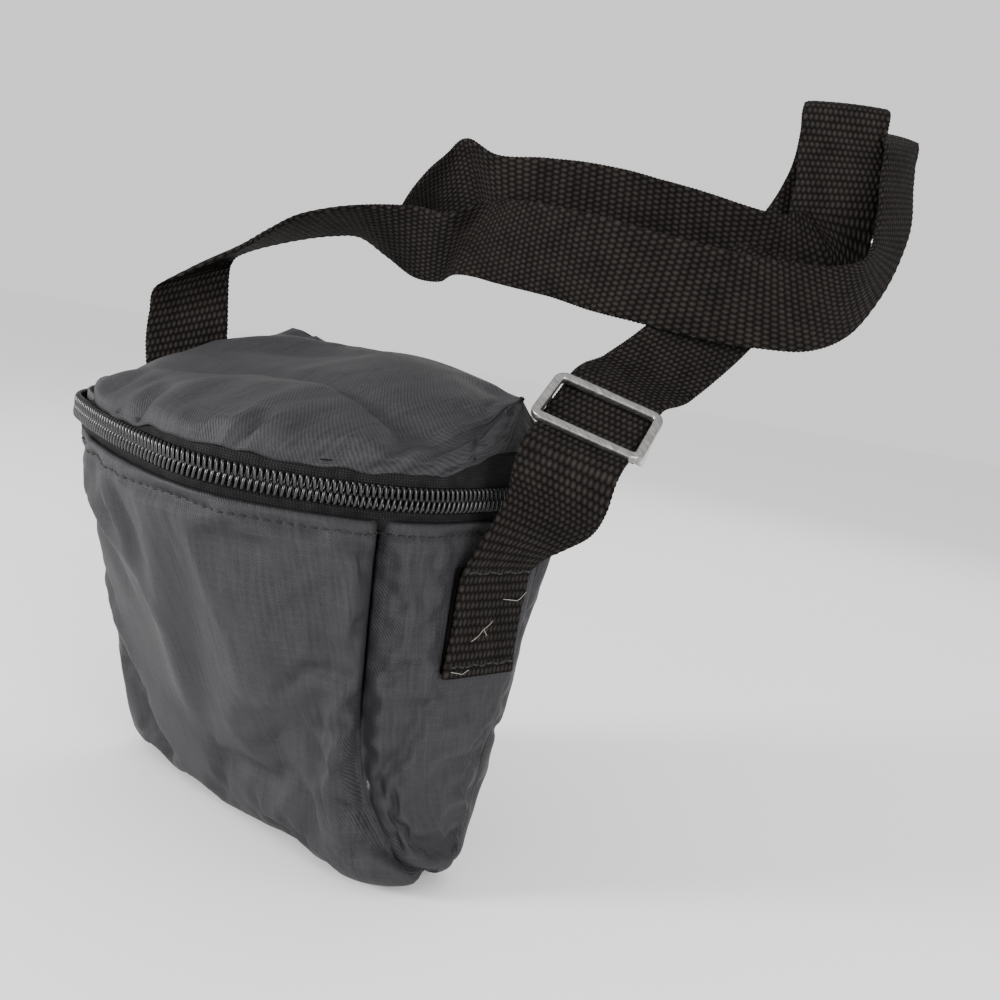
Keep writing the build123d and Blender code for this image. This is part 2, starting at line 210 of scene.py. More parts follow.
def grid_faces(rows, columns, close_columns=False):
    index = np.arange(rows * columns).reshape(rows, columns)
    if close_columns:
        index = np.c_[index, index[:, :1]]
    a, b, c, d = index[:-1, :-1], index[:-1, 1:], index[1:, 1:], index[1:, :-1]
    return np.stack([a, b, c, d], -1).reshape(-1, 4)


def outward(points, faces, centre):
    """Faces turned so that they look away from a centre."""
    corner = points.reshape(-1, 3)[faces]
    normal = np.cross(corner[:, 2] - corner[:, 0], corner[:, 3] - corner[:, 1])
    return faces if ((corner.mean(1) - centre) * normal).sum() > 0 else faces[:, ::-1]


def sheet_object(name, points, flat, material, thickness, centre=BAG_MIDDLE, weld=False):
    """A grid of points as a cloth piece with thickness; flat gives its place in millimetres for the weave."""
    faces = outward(points, grid_faces(*points.shape[:2]), np.array(centre, float))
    obj = make_object(name, points, faces, material, flat.reshape(-1, 2)[faces.ravel()] * MM)
    if weld:
        obj.modifiers.new("weld", "WELD").merge_threshold = 0.00001
    solid = obj.modifiers.new("cloth", "SOLIDIFY")
    solid.thickness, solid.offset = thickness * MM, -1
    return obj


def grid_normals(points):
    """Unit normals of a grid, as rows by columns by 3, on the side of rows crossed with columns."""
    return unit(np.cross(np.gradient(points, axis=1), np.gradient(points, axis=0)))


def outward_normals(points):
    normal = grid_normals(points)
    return normal if ((points - np.array((0, 0, 50.0))) * normal).sum() > 0 else -normal


def tube(path, radius, sides, up):
    """Rings of points round a path; up is a rough direction across it."""
    tangent = unit(np.gradient(path, axis=0))
    side = unit(np.cross(tangent, up))
    over = np.cross(side, tangent)
    angle = np.linspace(0, 2 * math.pi, sides, endpoint=False)[None, :, None]
    return path[:, None] + radius * (np.cos(angle) * side[:, None] + np.sin(angle) * over[:, None])


def closed_tube_faces(rows, sides, base):
    """Faces of one tube whose first point has number base, with both its ends capped."""
    last = base + (rows - 1) * sides
    ends = [list(range(base + sides - 1, base - 1, -1)), list(range(last, last + sides))]
    return (grid_faces(rows, sides, True) + base).tolist() + ends


def tubes_object(name, rings_list, material):
    """Several closed tubes joined in one piece."""
    faces, base = [], 0
    for rings in rings_list:
        rows, sides = rings.shape[:2]
        faces += closed_tube_faces(rows, sides, base)
        base += rows * sides
    return make_object(name, np.concatenate([rings.reshape(-1, 3) for rings in rings_list]), faces, material)


def rounded_box(name, size, centre, material, radius, segments=3):
    """A box with rounded edges, in the bag's axes."""
    half = np.array(size, float) / 2
    signs = np.array([(x, y, z) for x in (-1, 1) for y in (-1, 1) for z in (-1, 1)], float)
    faces = [(0, 1, 3, 2), (4, 6, 7, 5), (0, 4, 5, 1), (2, 3, 7, 6), (0, 2, 6, 4), (1, 5, 7, 3)]
    obj = make_object(name, np.array(centre, float) + signs * half, faces, material)
    bevel = obj.modifiers.new("round", "BEVEL")
    bevel.width, bevel.segments, bevel.limit_method = radius * MM, segments, "NONE"
    return obj


def joined(objects, name):
    """Applies the objects' modifiers and makes one object of them."""
    points, faces = [], []
    graph = bpy.context.evaluated_depsgraph_get()
    material = objects[0].data.materials[0]
    for obj in objects:
        mesh = obj.evaluated_get(graph).to_mesh()
        faces += [[len(points) + i for i in f.vertices] for f in mesh.polygons]
        points += [tuple(obj.matrix_world @ v.co / MM) for v in mesh.vertices]
    for obj in objects:
        bpy.data.objects.remove(obj)
    return make_object(name, points, faces, material)


# ---------------------------------------------------------------- materials
class Shader:
    """A principled material with a few short ways to add texture nodes."""

    def __init__(self, name, colour, roughness, **sockets):
        self.material = bpy.data.materials.new(name)
        self.material.use_nodes = True
        self.tree = self.material.node_tree
        self.bsdf = self.tree.nodes["Principled BSDF"]
        self.bsdf.inputs["Base Color"].default_value = (*colour, 1)
        self.bsdf.inputs["Roughness"].default_value = roughness
        for socket, value in sockets.items():
            self.bsdf.inputs[socket.replace("_", " ").title().replace("Ior", "IOR")].default_value = value

    def node(self, kind, **values):
        made = self.tree.nodes.new(kind)
        for key, value in values.items():
            setattr(made, key, value)
        return made

    def join(self, source, target):
        self.tree.links.new(source, target)

    def maths(self, operation, *operands):
        made = self.node("ShaderNodeMath", operation=operation)
        for socket, value in zip(made.inputs, operands):
            if isinstance(value, (int, float)):
                socket.default_value = value
            else:
                self.join(value, socket)
        return made.outputs[0]

    def product(self, a, b):
        return self.maths("MULTIPLY", a, b)

    def flat_place(self):
        return self.node("ShaderNodeUVMap", uv_map="flat").outputs[0]

    def flat_uv(self):
        """Place on the cloth in metres, across and along."""
        split = self.node("ShaderNodeSeparateXYZ")
        self.join(self.flat_place(), split.inputs[0])
        return split.outputs[0], split.outputs[1]

    def scaled(self, source, scale):
        mapping = self.node("ShaderNodeMapping")
        mapping.inputs["Scale"].default_value = scale
        self.join(source, mapping.inputs[0])
        return mapping.outputs[0]

    def place(self, stretch=(1, 1, 1)):
        return self.scaled(self.node("ShaderNodeTexCoord").outputs["Object"], stretch)

    def noise_at(self, vector, scale, detail, roughness):
        made = self.node("ShaderNodeTexNoise")
        for socket, value in (("Scale", scale), ("Detail", detail), ("Roughness", roughness)):
            made.inputs[socket].default_value = value
        self.join(vector, made.inputs["Vector"])
        return made.outputs["Fac"]

    def noise(self, scale, detail=3.0, roughness=0.55, stretch=(1, 1, 1)):
        return self.noise_at(self.place(stretch), scale, detail, roughness)

    def streaks(self, width_mm, length_mm):
        """Noise drawn out along the cloth's warp."""
        stretch = (1 / (width_mm * MM), 1 / (length_mm * MM), 1)
        return self.noise_at(self.scaled(self.flat_place(), stretch), 1.0, 4.0, 0.65)

    def wave(self, value, pitch, phase=0.0):
        """A sine of a length in metres, from 0 to 1."""
        turned = self.maths("MULTIPLY_ADD", value, 2 * math.pi / pitch, phase)
        return self.maths("MULTIPLY_ADD", self.maths("SINE", turned), 0.5, 0.5)

    def blend_colour(self, factor, low, high, start=0.0, end=1.0):
        ramp = self.node("ShaderNodeValToRGB")
        for stop, position, colour in zip(ramp.color_ramp.elements, (start, end), (low, high)):
            stop.position, stop.color = position, (*colour, 1)
        self.join(factor, ramp.inputs[0])
        self.join(ramp.outputs[0], self.bsdf.inputs["Base Color"])

    def vary_roughness(self, factor, low, high):
        spread = self.node("ShaderNodeMapRange")
        spread.inputs["To Min"].default_value, spread.inputs["To Max"].default_value = low, high
        self.join(factor, spread.inputs["Value"])
        self.join(spread.outputs[0], self.bsdf.inputs["Roughness"])

    def relief(self, height, depth_mm, strength=1.0):
        made = self.node("ShaderNodeBump")
        made.inputs["Strength"].default_value = strength
        made.inputs["Distance"].default_value = depth_mm * MM
        self.join(height, made.inputs["Height"])
        self.join(made.outputs[0], self.bsdf.inputs["Normal"])


def nylon():
    """Fine charcoal twill with a satin face and a grid of slightly thicker threads."""
    s = Shader("nylon", (0.02, 0.019, 0.021), 0.5, specular_ior_level=0.14)
    across, along = s.flat_uv()
    twill = s.wave(s.maths("ADD", across, s.product(along, 0.6)), 0.00062)
    thread = s.wave(along, 0.00048)
    ribs = [s.maths("POWER", s.wave(at, pitch), 8.0) for at, pitch in ((across, 0.0017), (along, 0.0019))]
    grid = s.maths("MAXIMUM", *ribs)
    height = s.maths("ADD", s.maths("MULTIPLY_ADD", twill, 0.55, s.product(thread, 0.3)),
                     s.maths("MULTIPLY_ADD", grid, 0.16, s.product(s.noise(900, 4, 0.7), 0.6)))
    tone = s.maths("ADD", s.product(s.streaks(0.9, 14.0), 0.62), s.product(height, 0.42))
    s.blend_colour(tone, (0.0068, 0.0064, 0.0071), (0.0325, 0.0309, 0.0338), 0.3, 0.85)
    s.vary_roughness(s.noise(60, 4), 0.42, 0.6)
    s.relief(height, 0.16, 0.8)
    return s.material


def webbing():
    """Coarse woven polyester strap: staggered nubs, with a painted highlight on their tops and painted shade in
    the grooves between them.
    """
    # dark is the painted shade in the grooves, light the painted highlight on the nub tops
    dark, light = (0.0010, 0.0008, 0.0007), (0.0245, 0.0208, 0.0188)
    s = Shader("webbing", dark, 0.75, specular_ior_level=0.05)
    across, along = s.flat_uv()

    def nubs(phase):
        column = s.maths("POWER", s.wave(along, 0.0044, phase), 1.9)
        return s.product(column, s.maths("MULTIPLY_ADD", s.wave(across, 0.00155, phase), 0.7, 0.3))

    nub = s.maths("MAXIMUM", nubs(0.0), nubs(math.pi))
    strand = s.wave(s.maths("ADD", across, s.product(along, 0.5)), 0.0004)
    fibre = s.product(s.noise(1400, 4, 0.7), 0.25)
    # painted light: the colour follows each nub's height, lighter on its top as a painted highlight and darker
    # in the grooves as painted shade
    tone = s.product(s.maths("MULTIPLY_ADD", s.noise(160, 4, 0.7), 1.1, 0.3), nub)
    s.blend_colour(tone, dark, light, 0.1, 0.85)
    s.relief(s.maths("ADD", nub, s.maths("MULTIPLY_ADD", strand, 0.12, fibre)), 0.7)
    return s.material


def zip_tape():
    s = Shader("zip_tape", (0.006, 0.0058, 0.006), 0.7, specular_ior_level=0.08)
    across, along = s.flat_uv()
    rib = s.wave(s.maths("ADD", across, s.product(s.wave(along, 0.0013), 0.0003)), 0.00075)
    height = s.maths("ADD", s.product(rib, 0.8), s.product(s.wave(along, 0.0006), 0.5))
    tone = s.product(height, s.noise(300, 3))
    s.blend_colour(tone, (0.0025, 0.0024, 0.0025), (0.019, 0.0182, 0.019), 0.1, 0.8)
    s.relief(height, 0.12, 0.8)
    return s.material


def coil_plastic():
    s = Shader("coil_plastic", (0.003, 0.003, 0.0032), 0.2, specular_ior_level=0.45)
    s.vary_roughness(s.noise(500, 3), 0.18, 0.36)
    s.relief(s.noise(1800, 3), 0.02, 0.4)
    return s.material


def lining_cloth():
    """Brushed red lining over foam."""
    finish = dict(specular_ior_level=0.12, sheen_weight=0.1, sheen_roughness=0.4)
    s = Shader("red_lining", (0.5, 0.012, 0.012), 0.85, **finish)
    s.bsdf.inputs["Sheen Tint"].default_value = (1.0, 0.35, 0.3, 1)
    nap = s.noise(1500, 5, 0.75)
    across, along = s.flat_uv()
    knit = s.product(s.wave(across, 0.0009), s.wave(along, 0.0011))
    tone = s.maths("MULTIPLY_ADD", s.noise(35, 4), 0.7, s.product(nap, 0.3))
    s.blend_colour(tone, (0.26, 0.004, 0.005), (0.46, 0.010, 0.011), 0.3, 0.75)
    s.relief(s.maths("MULTIPLY_ADD", knit, 0.5, nap), 0.12, 0.6)
    return s.material


def grosgrain():
    s = Shader("binding", (0.016, 0.0155, 0.016), 0.66, specular_ior_level=0.35, sheen_weight=0.1)
    rib = s.wave(s.flat_uv()[0], 0.0009)
    s.blend_colour(s.product(rib, s.noise(200, 3)), (0.010, 0.010, 0.010), (0.034, 0.033, 0.034))
    s.relief(s.maths("MULTIPLY_ADD", rib, 0.8, s.noise(1200, 3)), 0.1, 0.7)
    return s.material


def thread(name, low, high):
    s = Shader(name, low, 0.6, specular_ior_level=0.2, sheen_weight=0.03)
    twist = s.noise(2600, 2, 0.5, (1, 1, 2.4))
    s.blend_colour(twist, low, high, 0.3, 0.7)
    s.relief(twist, 0.05, 0.6)
    return s.material


def foam_cells():
    s = Shader("foam", (0.11, 0.11, 0.115), 0.9, specular_ior_level=0.2)
    cells = s.node("ShaderNodeTexVoronoi", feature="DISTANCE_TO_EDGE")
    cells.inputs["Scale"].default_value = 1500
    s.join(s.place(), cells.inputs["Vector"])
    s.blend_colour(cells.outputs["Distance"], (0.05, 0.05, 0.053), (0.16, 0.16, 0.165), 0.0, 0.4)
    s.relief(cells.outputs["Distance"], 0.2, 0.7)
    return s.material


def board_plastic():
    s = Shader("base_board", (0.03, 0.03, 0.032), 0.5, specular_ior_level=0.4)
    s.blend_colour(s.noise(90, 4), (0.022, 0.022, 0.024), (0.045, 0.045, 0.047), 0.3, 0.7)
    s.relief(s.noise(700, 4), 0.06, 0.5)
    return s.material


def satin_metal(name, dark, light, rough_low, rough_high):
    """Plated zinc: brushed, with brighter rubbed edges and fine scratches."""
    s = Shader(name, light, rough_high, metallic=1.0)
    edge = s.node("ShaderNodeNewGeometry").outputs["Pointiness"]
    scratch = s.noise(260, 5, 0.7, (1, 9, 1))
    worn = s.maths("MULTIPLY_ADD", s.maths("SUBTRACT", edge, 0.5), 4.0, scratch)
    s.blend_colour(worn, dark, light, 0.25, 0.75)
    s.vary_roughness(s.noise(420, 4), rough_low, rough_high)
    s.relief(s.maths("ADD", scratch, s.noise(1500, 3)), 0.03, 0.35)
    return s.material


def paper():
    s = Shader("white_paper", (0.95, 0.95, 0.95), 0.9, specular_ior_level=0.0)
    s.blend_colour(s.noise(2.0, 2), (0.945, 0.945, 0.943), (0.96, 0.96, 0.958), 0.3, 0.7)
    return s.material


NYLON, WEBBING, TAPE, COIL = nylon(), webbing(), zip_tape(), coil_plastic()
LINING, BINDING, FOAM, BOARD = lining_cloth(), grosgrain(), foam_cells(), board_plastic()
BLACK_THREAD = thread("black_thread", (0.004, 0.004, 0.004), (0.018, 0.0175, 0.0175))
PALE_THREAD = thread("frayed_thread", (0.10, 0.095, 0.085), (0.34, 0.32, 0.29))
SLIDE_METAL = satin_metal("slide_metal", (0.20, 0.195, 0.19), (0.62, 0.61, 0.60), 0.26, 0.44)
ZIP_METAL = satin_metal("zip_metal", (0.035, 0.035, 0.037), (0.13, 0.13, 0.135), 0.3, 0.48)


def finish_piece(obj, body, slot, *nodes, fill=None):
    """Rides a piece on its body and hides the CAD nodes it stands for; its finish (slot) and its padding (fill)
    are not used.
    """
    if body:
        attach(obj, body)
    if nodes:
        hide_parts(*nodes)
    return obj


# ---------------------------------------------------------------- folds in the body's cloth
def near_line(across, height, points, width):
    """1 on a line through points (across, height), falling off to both sides and tapering to its ends."""
    best = np.zeros(across.shape)
    total = len(points) - 1
    for i, ((x0, z0), (x1, z1)) in enumerate(zip(points, points[1:])):
        dx, dz = x1 - x0, z1 - z0
        s = np.clip(((across - x0) * dx + (height - z0) * dz) / (dx * dx + dz * dz), 0, 1)
        gap = np.hypot(across - x0 - s * dx, height - z0 - s * dz)
        taper = np.clip(np.sin(math.pi * np.clip((i + s) / total, 0.02, 0.98)), 0, 1) ** 0.5
        best = np.maximum(best, taper * np.exp(-((gap / width) ** 2)))
    return best


def folds(lines, across, height):
    """Rise of a list of folds, each of them a line, its half width and its rise."""
    return sum(lift * near_line(across, height, line, width) for line, width, lift in lines)


FRONT_FOLDS = (  # line as (along the front from its middle, height), half width, rise
    (((4, 92), (2, 74), (-2, 60), (-3, 46), (-4, 30)), 5.0, 2.0),
    (((-36, 90), (-24, 83), (-13, 74), (-4, 62)), 3.4, 1.6),
    (((-17, 93), (-12, 84), (-8, 72), (-5, 60)), 2.8, 1.3),
    (((-46, 60), (-38, 48), (-30, 34)), 4.0, 1.2),
    (((-28, 92), (-19, 78), (-11, 60)), 3.0, 0.8),
    (((-10, 93), (-7, 82), (-8, 66)), 2.6, -1.2),
    (((-40, 84), (-28, 74), (-17, 58)), 3.4, -1.3),
    (((14, 92), (12, 70), (6, 40), (0, 22)), 6.0, -1.4),
    (((30, 90), (33, 66), (34, 40)), 9.0, 1.3),
    (((46, 84), (49, 60), (48, 36)), 4.5, -1.2),
    (((56, 92), (58, 70), (57, 44)), 3.4, 1.4),
    (((-20, 34), (4, 22), (30, 18)), 6.0, -1.1),
    (((28, 34), (42, 22), (52, 12)), 4.0, 1.2),
    (((34, 44), (44, 33), (54, 29)), 2.4, -1.1),
)
SEAM_DIMPLES = (  # line as (distance from the front's right seam, height), half width, rise
    (((5.0, 92), (3.8, 87), (1.8, 81)), 1.3, -1.5),
    (((7.2, 93), (6.6, 88), (5.6, 82)), 1.5, 0.9),
    (((3.0, 72), (4.2, 66), (1.5, 60)), 1.3, -1.1),
    (((6.0, 50), (4.0, 43), (1.0, 38)), 1.6, -1.5),
    (((8.0, 40), (5.5, 34), (2.0, 30)), 1.8, 1.2),
    (((6.5, 28), (4.0, 23), (1.0, 20)), 1.5, -1.4),
)
GUSSET_FOLDS = (  # line as (along the gusset from its front seam, height), half width, rise
    (((6, 94), (7, 74), (5, 52), (4, 34)), 3.6, 1.3),
    (((12, 70), (14, 50), (10, 28)), 4.0, -0.9),
    (((16, 46), (12, 30), (6, 16)), 3.2, 0.9),
    (((8, 38), (4, 30), (2, 24)), 2.0, -1.2),
    (((3, 20), (9, 14), (14, 9)), 2.2, -1.0),
)
SEAM_DIP, SEAM_REACH = 2.3, 2.6
DEEPEST_DIP = 4.3  # the lining starts a little further in
PINCH = 2.8  # how far the left front corner is drawn in under the mouth
STITCH_DROP = 3.0  # the topstitching is this far under the body's top edge
FOOT_SPAN = {"right_gusset": (-9.0, 20.0), "left_gusset": (-22.0, 8.0)}  # where the strap is sewn on, in Y


def seam_puckers(distance, height, phase):
    """Little folds that run off a seam and die away."""
    wave = np.sin(height * 2 * math.pi / 8.5 + phase + 1.6 * np.sin(height / 11.0 + phase))
    return 0.55 * wave * np.exp(-distance / 5.5) * smooth(0, 2.5, distance)


def gathers(along, height):
    """Small upright folds that hang from the topstitching."""
    rng = np.random.default_rng(21)
    rise = np.zeros(along.shape)
    for place in np.linspace(-62, 60, 26) + rng.uniform(-1.8, 1.8, 26):
        drop, lean = rng.uniform(9, 30), rng.uniform(-2.5, 2.5)
        line = ((place, 97.0), (place + lean * 0.4, 97.0 - drop * 0.5), (place + lean, 97.0 - drop))
        rise += rng.uniform(-0.75, 0.75) * near_line(along, height, line, rng.uniform(1.4, 3.0))
    return rise


def front_rise(points, along, height, from_start, from_end, inner):
    low = 1 - smooth(30, 62, height)
    rise = folds(FRONT_FOLDS, along, height) * inner + gathers(along, height) * inner
    rise += (1 + 0.8 * low) * seam_puckers(from_end, height, 0.4) + seam_puckers(from_start, height, 2.0)
    rise += (1.3 + 1.6 * low * smooth(4, 16, height)) * bump(from_end, 6.5, 3.8) * smooth(8, 30, height)
    overlap = 0.55 + 0.45 * np.sin(height / 4.6 + 1.3 * np.sin(height / 10.0))
    rise += 1.1 * overlap * bump(from_end, 3.0, 1.5) * smooth(8, 20, height)
    rise += folds(SEAM_DIMPLES, from_end, height) * smooth(0, 1.4, from_end)
    rise -= PINCH * smooth(22, 50, -points[..., 0]) * smooth(58, 97, height)
    return rise - 0.5 * bump(along, 25.5, 0.7) * smooth(TOP - 4.0, TOP - 3.0, height)


def gusset_rise(place, points, height, near_front, near_back, edge):
    rise = folds(GUSSET_FOLDS, near_front, height) * smooth(0, 5, edge) + seam_puckers(near_front, height, 3.1)
    rise += 0.8 * SEAM_DIP * bump(near_back, near_back.min(1, keepdims=True), SEAM_REACH)
    if place == "left_gusset":
        rise -= PINCH * smooth(58, 97, height) * (1 - smooth(-26, 0, points[..., 1]))
    return rise


def wall_relief(place, points, flat):
    """Outward rise of the cloth at each grid point, in millimetres."""
    along, height = flat[..., 0], flat[..., 1]
    from_start, from_end = along - along[:, :1], along[:, -1:] - along
    edge = np.minimum(from_start, from_end)
    dip = SEAM_DIP * (0.3 if place == "back_panel" else 1.0)
    rise = -dip * (0.6 * np.exp(-((edge / SEAM_REACH) ** 2)) + 0.9 * np.exp(-edge / 0.9))
    inner = smooth(0, 9, edge)
    if place in ("front_panel", "right_gusset"):
        from_seam = from_end if place == "front_panel" else from_start
        rise -= 2.2 * (1 - smooth(30, 62, height)) * np.exp(-((from_seam / 2.6) ** 2))
        rise -= 0.9 * np.exp(-from_seam / 1.1)
    if place == "front_panel":
        rise += front_rise(points, along, height, from_start, from_end, inner)
    elif place == "back_panel":
        rise += 0.9 * np.sin(along / 17.0) * np.sin(height / 21.0 + 0.6) * inner
        rise += 0.25 * seam_puckers(edge, height, 1.1)
    else:
        ends = (from_start, from_end) if place == "right_gusset" else (from_end, from_start)
        rise += gusset_rise(place, points, height, *ends, edge)
        low, high = FOOT_SPAN[place]
        sewn = smooth(low - 6, low, points[..., 1]) * (1 - smooth(high, high + 6, points[..., 1]))
        rise *= 1 - sewn * smooth(48, 55, height) * (1 - smooth(88, 93, height))
    below = TOP - STITCH_DROP - height
    rise -= 0.4 * bump(below, 0.0, 0.8)
    pucker = np.sin(along / 1.15 + 0.8 * np.sin(along / 9.0))
    rise += 0.16 * pucker * np.exp(-np.abs(below) / 5.0) * smooth(-3.0, -1.0, below)
    ripple = np.sin(along / 3.1 + 1.4 * np.sin(along / 13.0))
    rise += 0.3 * ripple * np.exp(-np.abs(below - 3) / 7.0) * smooth(0, 4, below)
    return np.maximum(rise, -DEEPEST_DIP) * smooth(-0.5, 2.0, height)


# ---------------------------------------------------------------- cloth simulation
def settle_cloth(points, pinned, pressure, slack, frames=20, cap=3.0):
    """Offsets of a grid of cloth after a short cloth simulation, capped; its pinned points stay put."""
    faces = outward(points, grid_faces(*points.shape[:2]), np.array(BAG_MIDDLE, float))
    obj = make_object("settling_cloth", points, faces, NYLON)
    group = obj.vertex_groups.new(name="pinned")
    for index in np.flatnonzero(pinned.ravel()):
        group.add([int(index)], 1.0, "REPLACE")
    cloth = obj.modifiers.new("cloth", "CLOTH")
    settings = dict(
        quality=6, mass=0.2, tension_stiffness=12, compression_stiffness=12, shear_stiffness=6,
        bending_stiffness=0.35, vertex_group_mass="pinned", use_pressure=True,
        uniform_pressure_force=pressure, shrink_min=-slack,
    )
    for key, value in settings.items():
        setattr(cloth.settings, key, value)
    cloth.settings.effector_weights.gravity = 0
    cloth.collision_settings.use_collision = False
    scene = bpy.context.scene
    scene.frame_start, scene.frame_end = 1, frames
    for number in range(1, frames + 1):
        scene.frame_set(number)
    evaluated = obj.evaluated_get(bpy.context.evaluated_depsgraph_get())
    co = np.zeros(points.size)
    evaluated.to_mesh().vertices.foreach_get("co", co)
    moved = co.reshape(points.shape) / MM - points
    evaluated.to_mesh_clear()
    bpy.data.objects.remove(obj)
    scene.frame_set(1)
    far = np.linalg.norm(moved, axis=-1, keepdims=True)
    return moved * np.minimum(1, cap / np.maximum(far, 1e-9))


def spread_offsets(offsets, rows_at, columns_at):
    """Offsets on a coarse grid taken at finer row and column places, both from 0 to 1, smoothly."""
    def along_axis(values, at, axis):
        count = values.shape[axis]
        values = np.moveaxis(values, axis, 0)
        place = np.clip(np.asarray(at), 0, 1) * (count - 1)
        i = np.clip(place.astype(int), 0, count - 2)
        f = (place - i)[:, None, None]
        a, b = values[i], values[i + 1]
        before, after = values[np.clip(i - 1, 0, count - 1)], values[np.clip(i + 2, 0, count - 1)]
        bend = 2 * before - 5 * a + 4 * b - after + f * (3 * (a - b) + after - before)
        return np.moveaxis(a + 0.5 * f * (b - before + f * bend), 0, axis)
    return along_axis(along_axis(offsets, rows_at, 0), columns_at, 1)


# ---------------------------------------------------------------- the body's walls
HEIGHTS = np.concatenate([
    np.linspace(TOP - 0.4, TOP - 5.4, 12), np.linspace(TOP - 6.5, 9, 74), np.linspace(8, 0, 14),
])
WALLS = {  # columns in the grid, CAD node of the foam behind
    "front_panel": (128, "front_foam"), "back_panel": (84, "back_foam"),
    "left_gusset": (54, "left_foam"), "right_gusset": (60, "right_foam"),
}
EDGE_ROLL = ((2.4, -2.2), (1.9, -0.4), (1.2, 0.25), (0.5, 0.1))  # inset and height of the folded top edge


def column_places(count):
    """Places from 0 to 1, closer together at both ends."""
    u = np.linspace(0, 1, count)
    return 0.75 * u + 0.25 * (0.5 - 0.5 * np.cos(math.pi * u))


def folded_wall(place, heights, columns):
    points, flat = wall_grid(place, heights, columns)
    return points + outward_normals(points) * wall_relief(place, points, flat)[..., None], flat


def wall_surface(place, count):
    """The panel's cloth surface with its folds, and the flat place of each point."""
    columns = column_places(count)
    points, flat = folded_wall(place, HEIGHTS, columns)
    coarse_z = np.linspace(TOP, 0, 30)
    coarse, _ = folded_wall(place, coarse_z, np.linspace(0, 1, max(12, count // 3)))
    pinned = np.zeros(coarse.shape[:2], bool)
    pinned[[0, -1]] = pinned[:, [0, -1]] = True
    if place in FOOT_SPAN:
        low, high = FOOT_SPAN[place]
        level = coarse_z[:, None]
        pinned |= (coarse[..., 1] > low) & (coarse[..., 1] < high) & (level > 52) & (level < 92)
    points += spread_offsets(settle_cloth(coarse, pinned, 2.0, 0.035), (TOP - HEIGHTS) / TOP, columns)
    _, top_flat = wall_grid(place, [TOP - 0.4], columns)
    into = -outward_normals(points)[0]
    into[:, 2] = 0
    rolls = [points[0] + into * inset + (0, 0, 0.4 + lift) for inset, lift in EDGE_ROLL]
    roll_flat = np.repeat(top_flat, len(EDGE_ROLL), 0)
    roll_flat[..., 1] += np.array([roll[0] for roll in EDGE_ROLL])[:, None]
    return np.concatenate([np.array(rolls), points]), np.concatenate([roll_flat, flat])


walls = {}
for place, (count, foam_node) in WALLS.items():
    walls[place], flat = wall_surface(place, count)
    panel = sheet_object(place + "_cloth", walls[place], flat, NYLON, CLOTH)
    finish_piece(panel, "bag", "nylon", place, fill=0.45)


# ---------------------------------------------------------------- base, lining and bindings
def ring_object(name, section, material, thickness, wobble=0.0, span=None):
    """A band round the bag: section lists inset and height; span keeps only arcs between two lengths."""
    rows, flat = [], []
    run = 0.0
    for i, (inset, z) in enumerate(section):
        level = Level(min(z / TOP, 1.0), inset)
        arc = np.linspace(*(span(level) if span else (0.0, level.arc[-1])), 260)
        if i:
            run += math.hypot(inset - section[i - 1][0], z - section[i - 1][1])
        rows.append(np.c_[level.at(arc), np.full(len(arc), z)])
        flat.append(np.c_[arc, np.full(len(arc), run)])
    points, flat = np.array(rows), np.array(flat)
    points = sagged(points, np.clip(points[..., 2] / TOP, 0, 1) ** 2)
    if wobble:
        z = points[..., 2:3]
        wave = np.sin(z / 9.0 + flat[..., :1] / 7.0) * smooth(2, 8, TOP - z - 4)
        points += wobble * outward_normals(points) * wave
    return sheet_object(name, points, flat, material, thickness, weld=not span)


def disc_object(name, t, inset, heights, material, thickness):
    """A floor inside the outline: rings that shrink to the middle; heights go from the rim in."""
    level = Level(t, inset)
    rim = level.at(np.linspace(0, level.arc[-1], 200))
    spine = np.c_[rim[:, 0] * 0.7, np.full(len(rim), rim[:, 1].mean())]
    shrink = np.linspace(0, 1, len(heights)) ** 0.8
    points = np.array([np.c_[mix(rim, spine, s), np.full(len(rim), z)] for s, z in zip(shrink, heights)])
    return sheet_object(name, points, points[..., :2].copy(), material, thickness, (0, 0, 50), weld=True)


WALL_INSET, LINING_BASE, BOTTOM_INSET = 4.9, 7.4, BOTTOM_ROUNDING + 1.0
base_cloth = disc_object("base_cloth", 0.0, BOTTOM_ROUNDING, [0.25] + [0.02] * 11, NYLON, CLOTH)
finish_piece(base_cloth, "bag", "nylon", "base_panel", fill=0.4)

lining_section = [(WALL_INSET + 0.2, TOP + 0.3)]
lining_section += [(WALL_INSET, z) for z in np.linspace(TOP - 1.5, LINING_BASE + 3, 46)]
lining_section += [(WALL_INSET + 0.8, LINING_BASE + 1.2), (WALL_INSET + 3.0, LINING_BASE)]
body_lining = ring_object("body_lining_cloth", lining_section, LINING, 0.5, wobble=0.35)
finish_piece(body_lining, "bag", "red_lining", "body_lining", fill=0.5)
floor_heights = [LINING_BASE] + [LINING_BASE + 0.5] * 11
floor_level, floor_inset = LINING_BASE / TOP, WALL_INSET + 1.0
lining_floor = disc_object("lining_floor_cloth", floor_level, floor_inset, floor_heights, LINING, 0.5)
finish_piece(lining_floor, "bag", "red_lining", "lining_floor", fill=0.3)

for place, (_, foam_node) in WALLS.items():
    grid, foam_flat = wall_grid(place, np.linspace(TOP - 7.0, 20.0, 36), np.linspace(0.14, 0.86, 40), 3.9)
    foam = sheet_object(foam_node + "_sheet", grid, foam_flat, FOAM, 0.7)
    finish_piece(foam, "bag", "foam", foam_node, fill=0.8)
base_foam = disc_object("base_foam_sheet", 0.0, BOTTOM_INSET, [2.6] + [2.7] * 5, FOAM, 1.6)
finish_piece(base_foam, "bag", "foam", "base_foam", fill=0.8)
base_board = disc_object("base_board_plate", 0.0, BOTTOM_INSET, [4.9] + [5.0] * 5, BOARD, 1.4)
finish_piece(base_board, "bag", "board", "base_board")

BIND_OUT, BIND_IN = 2.3, 5.3


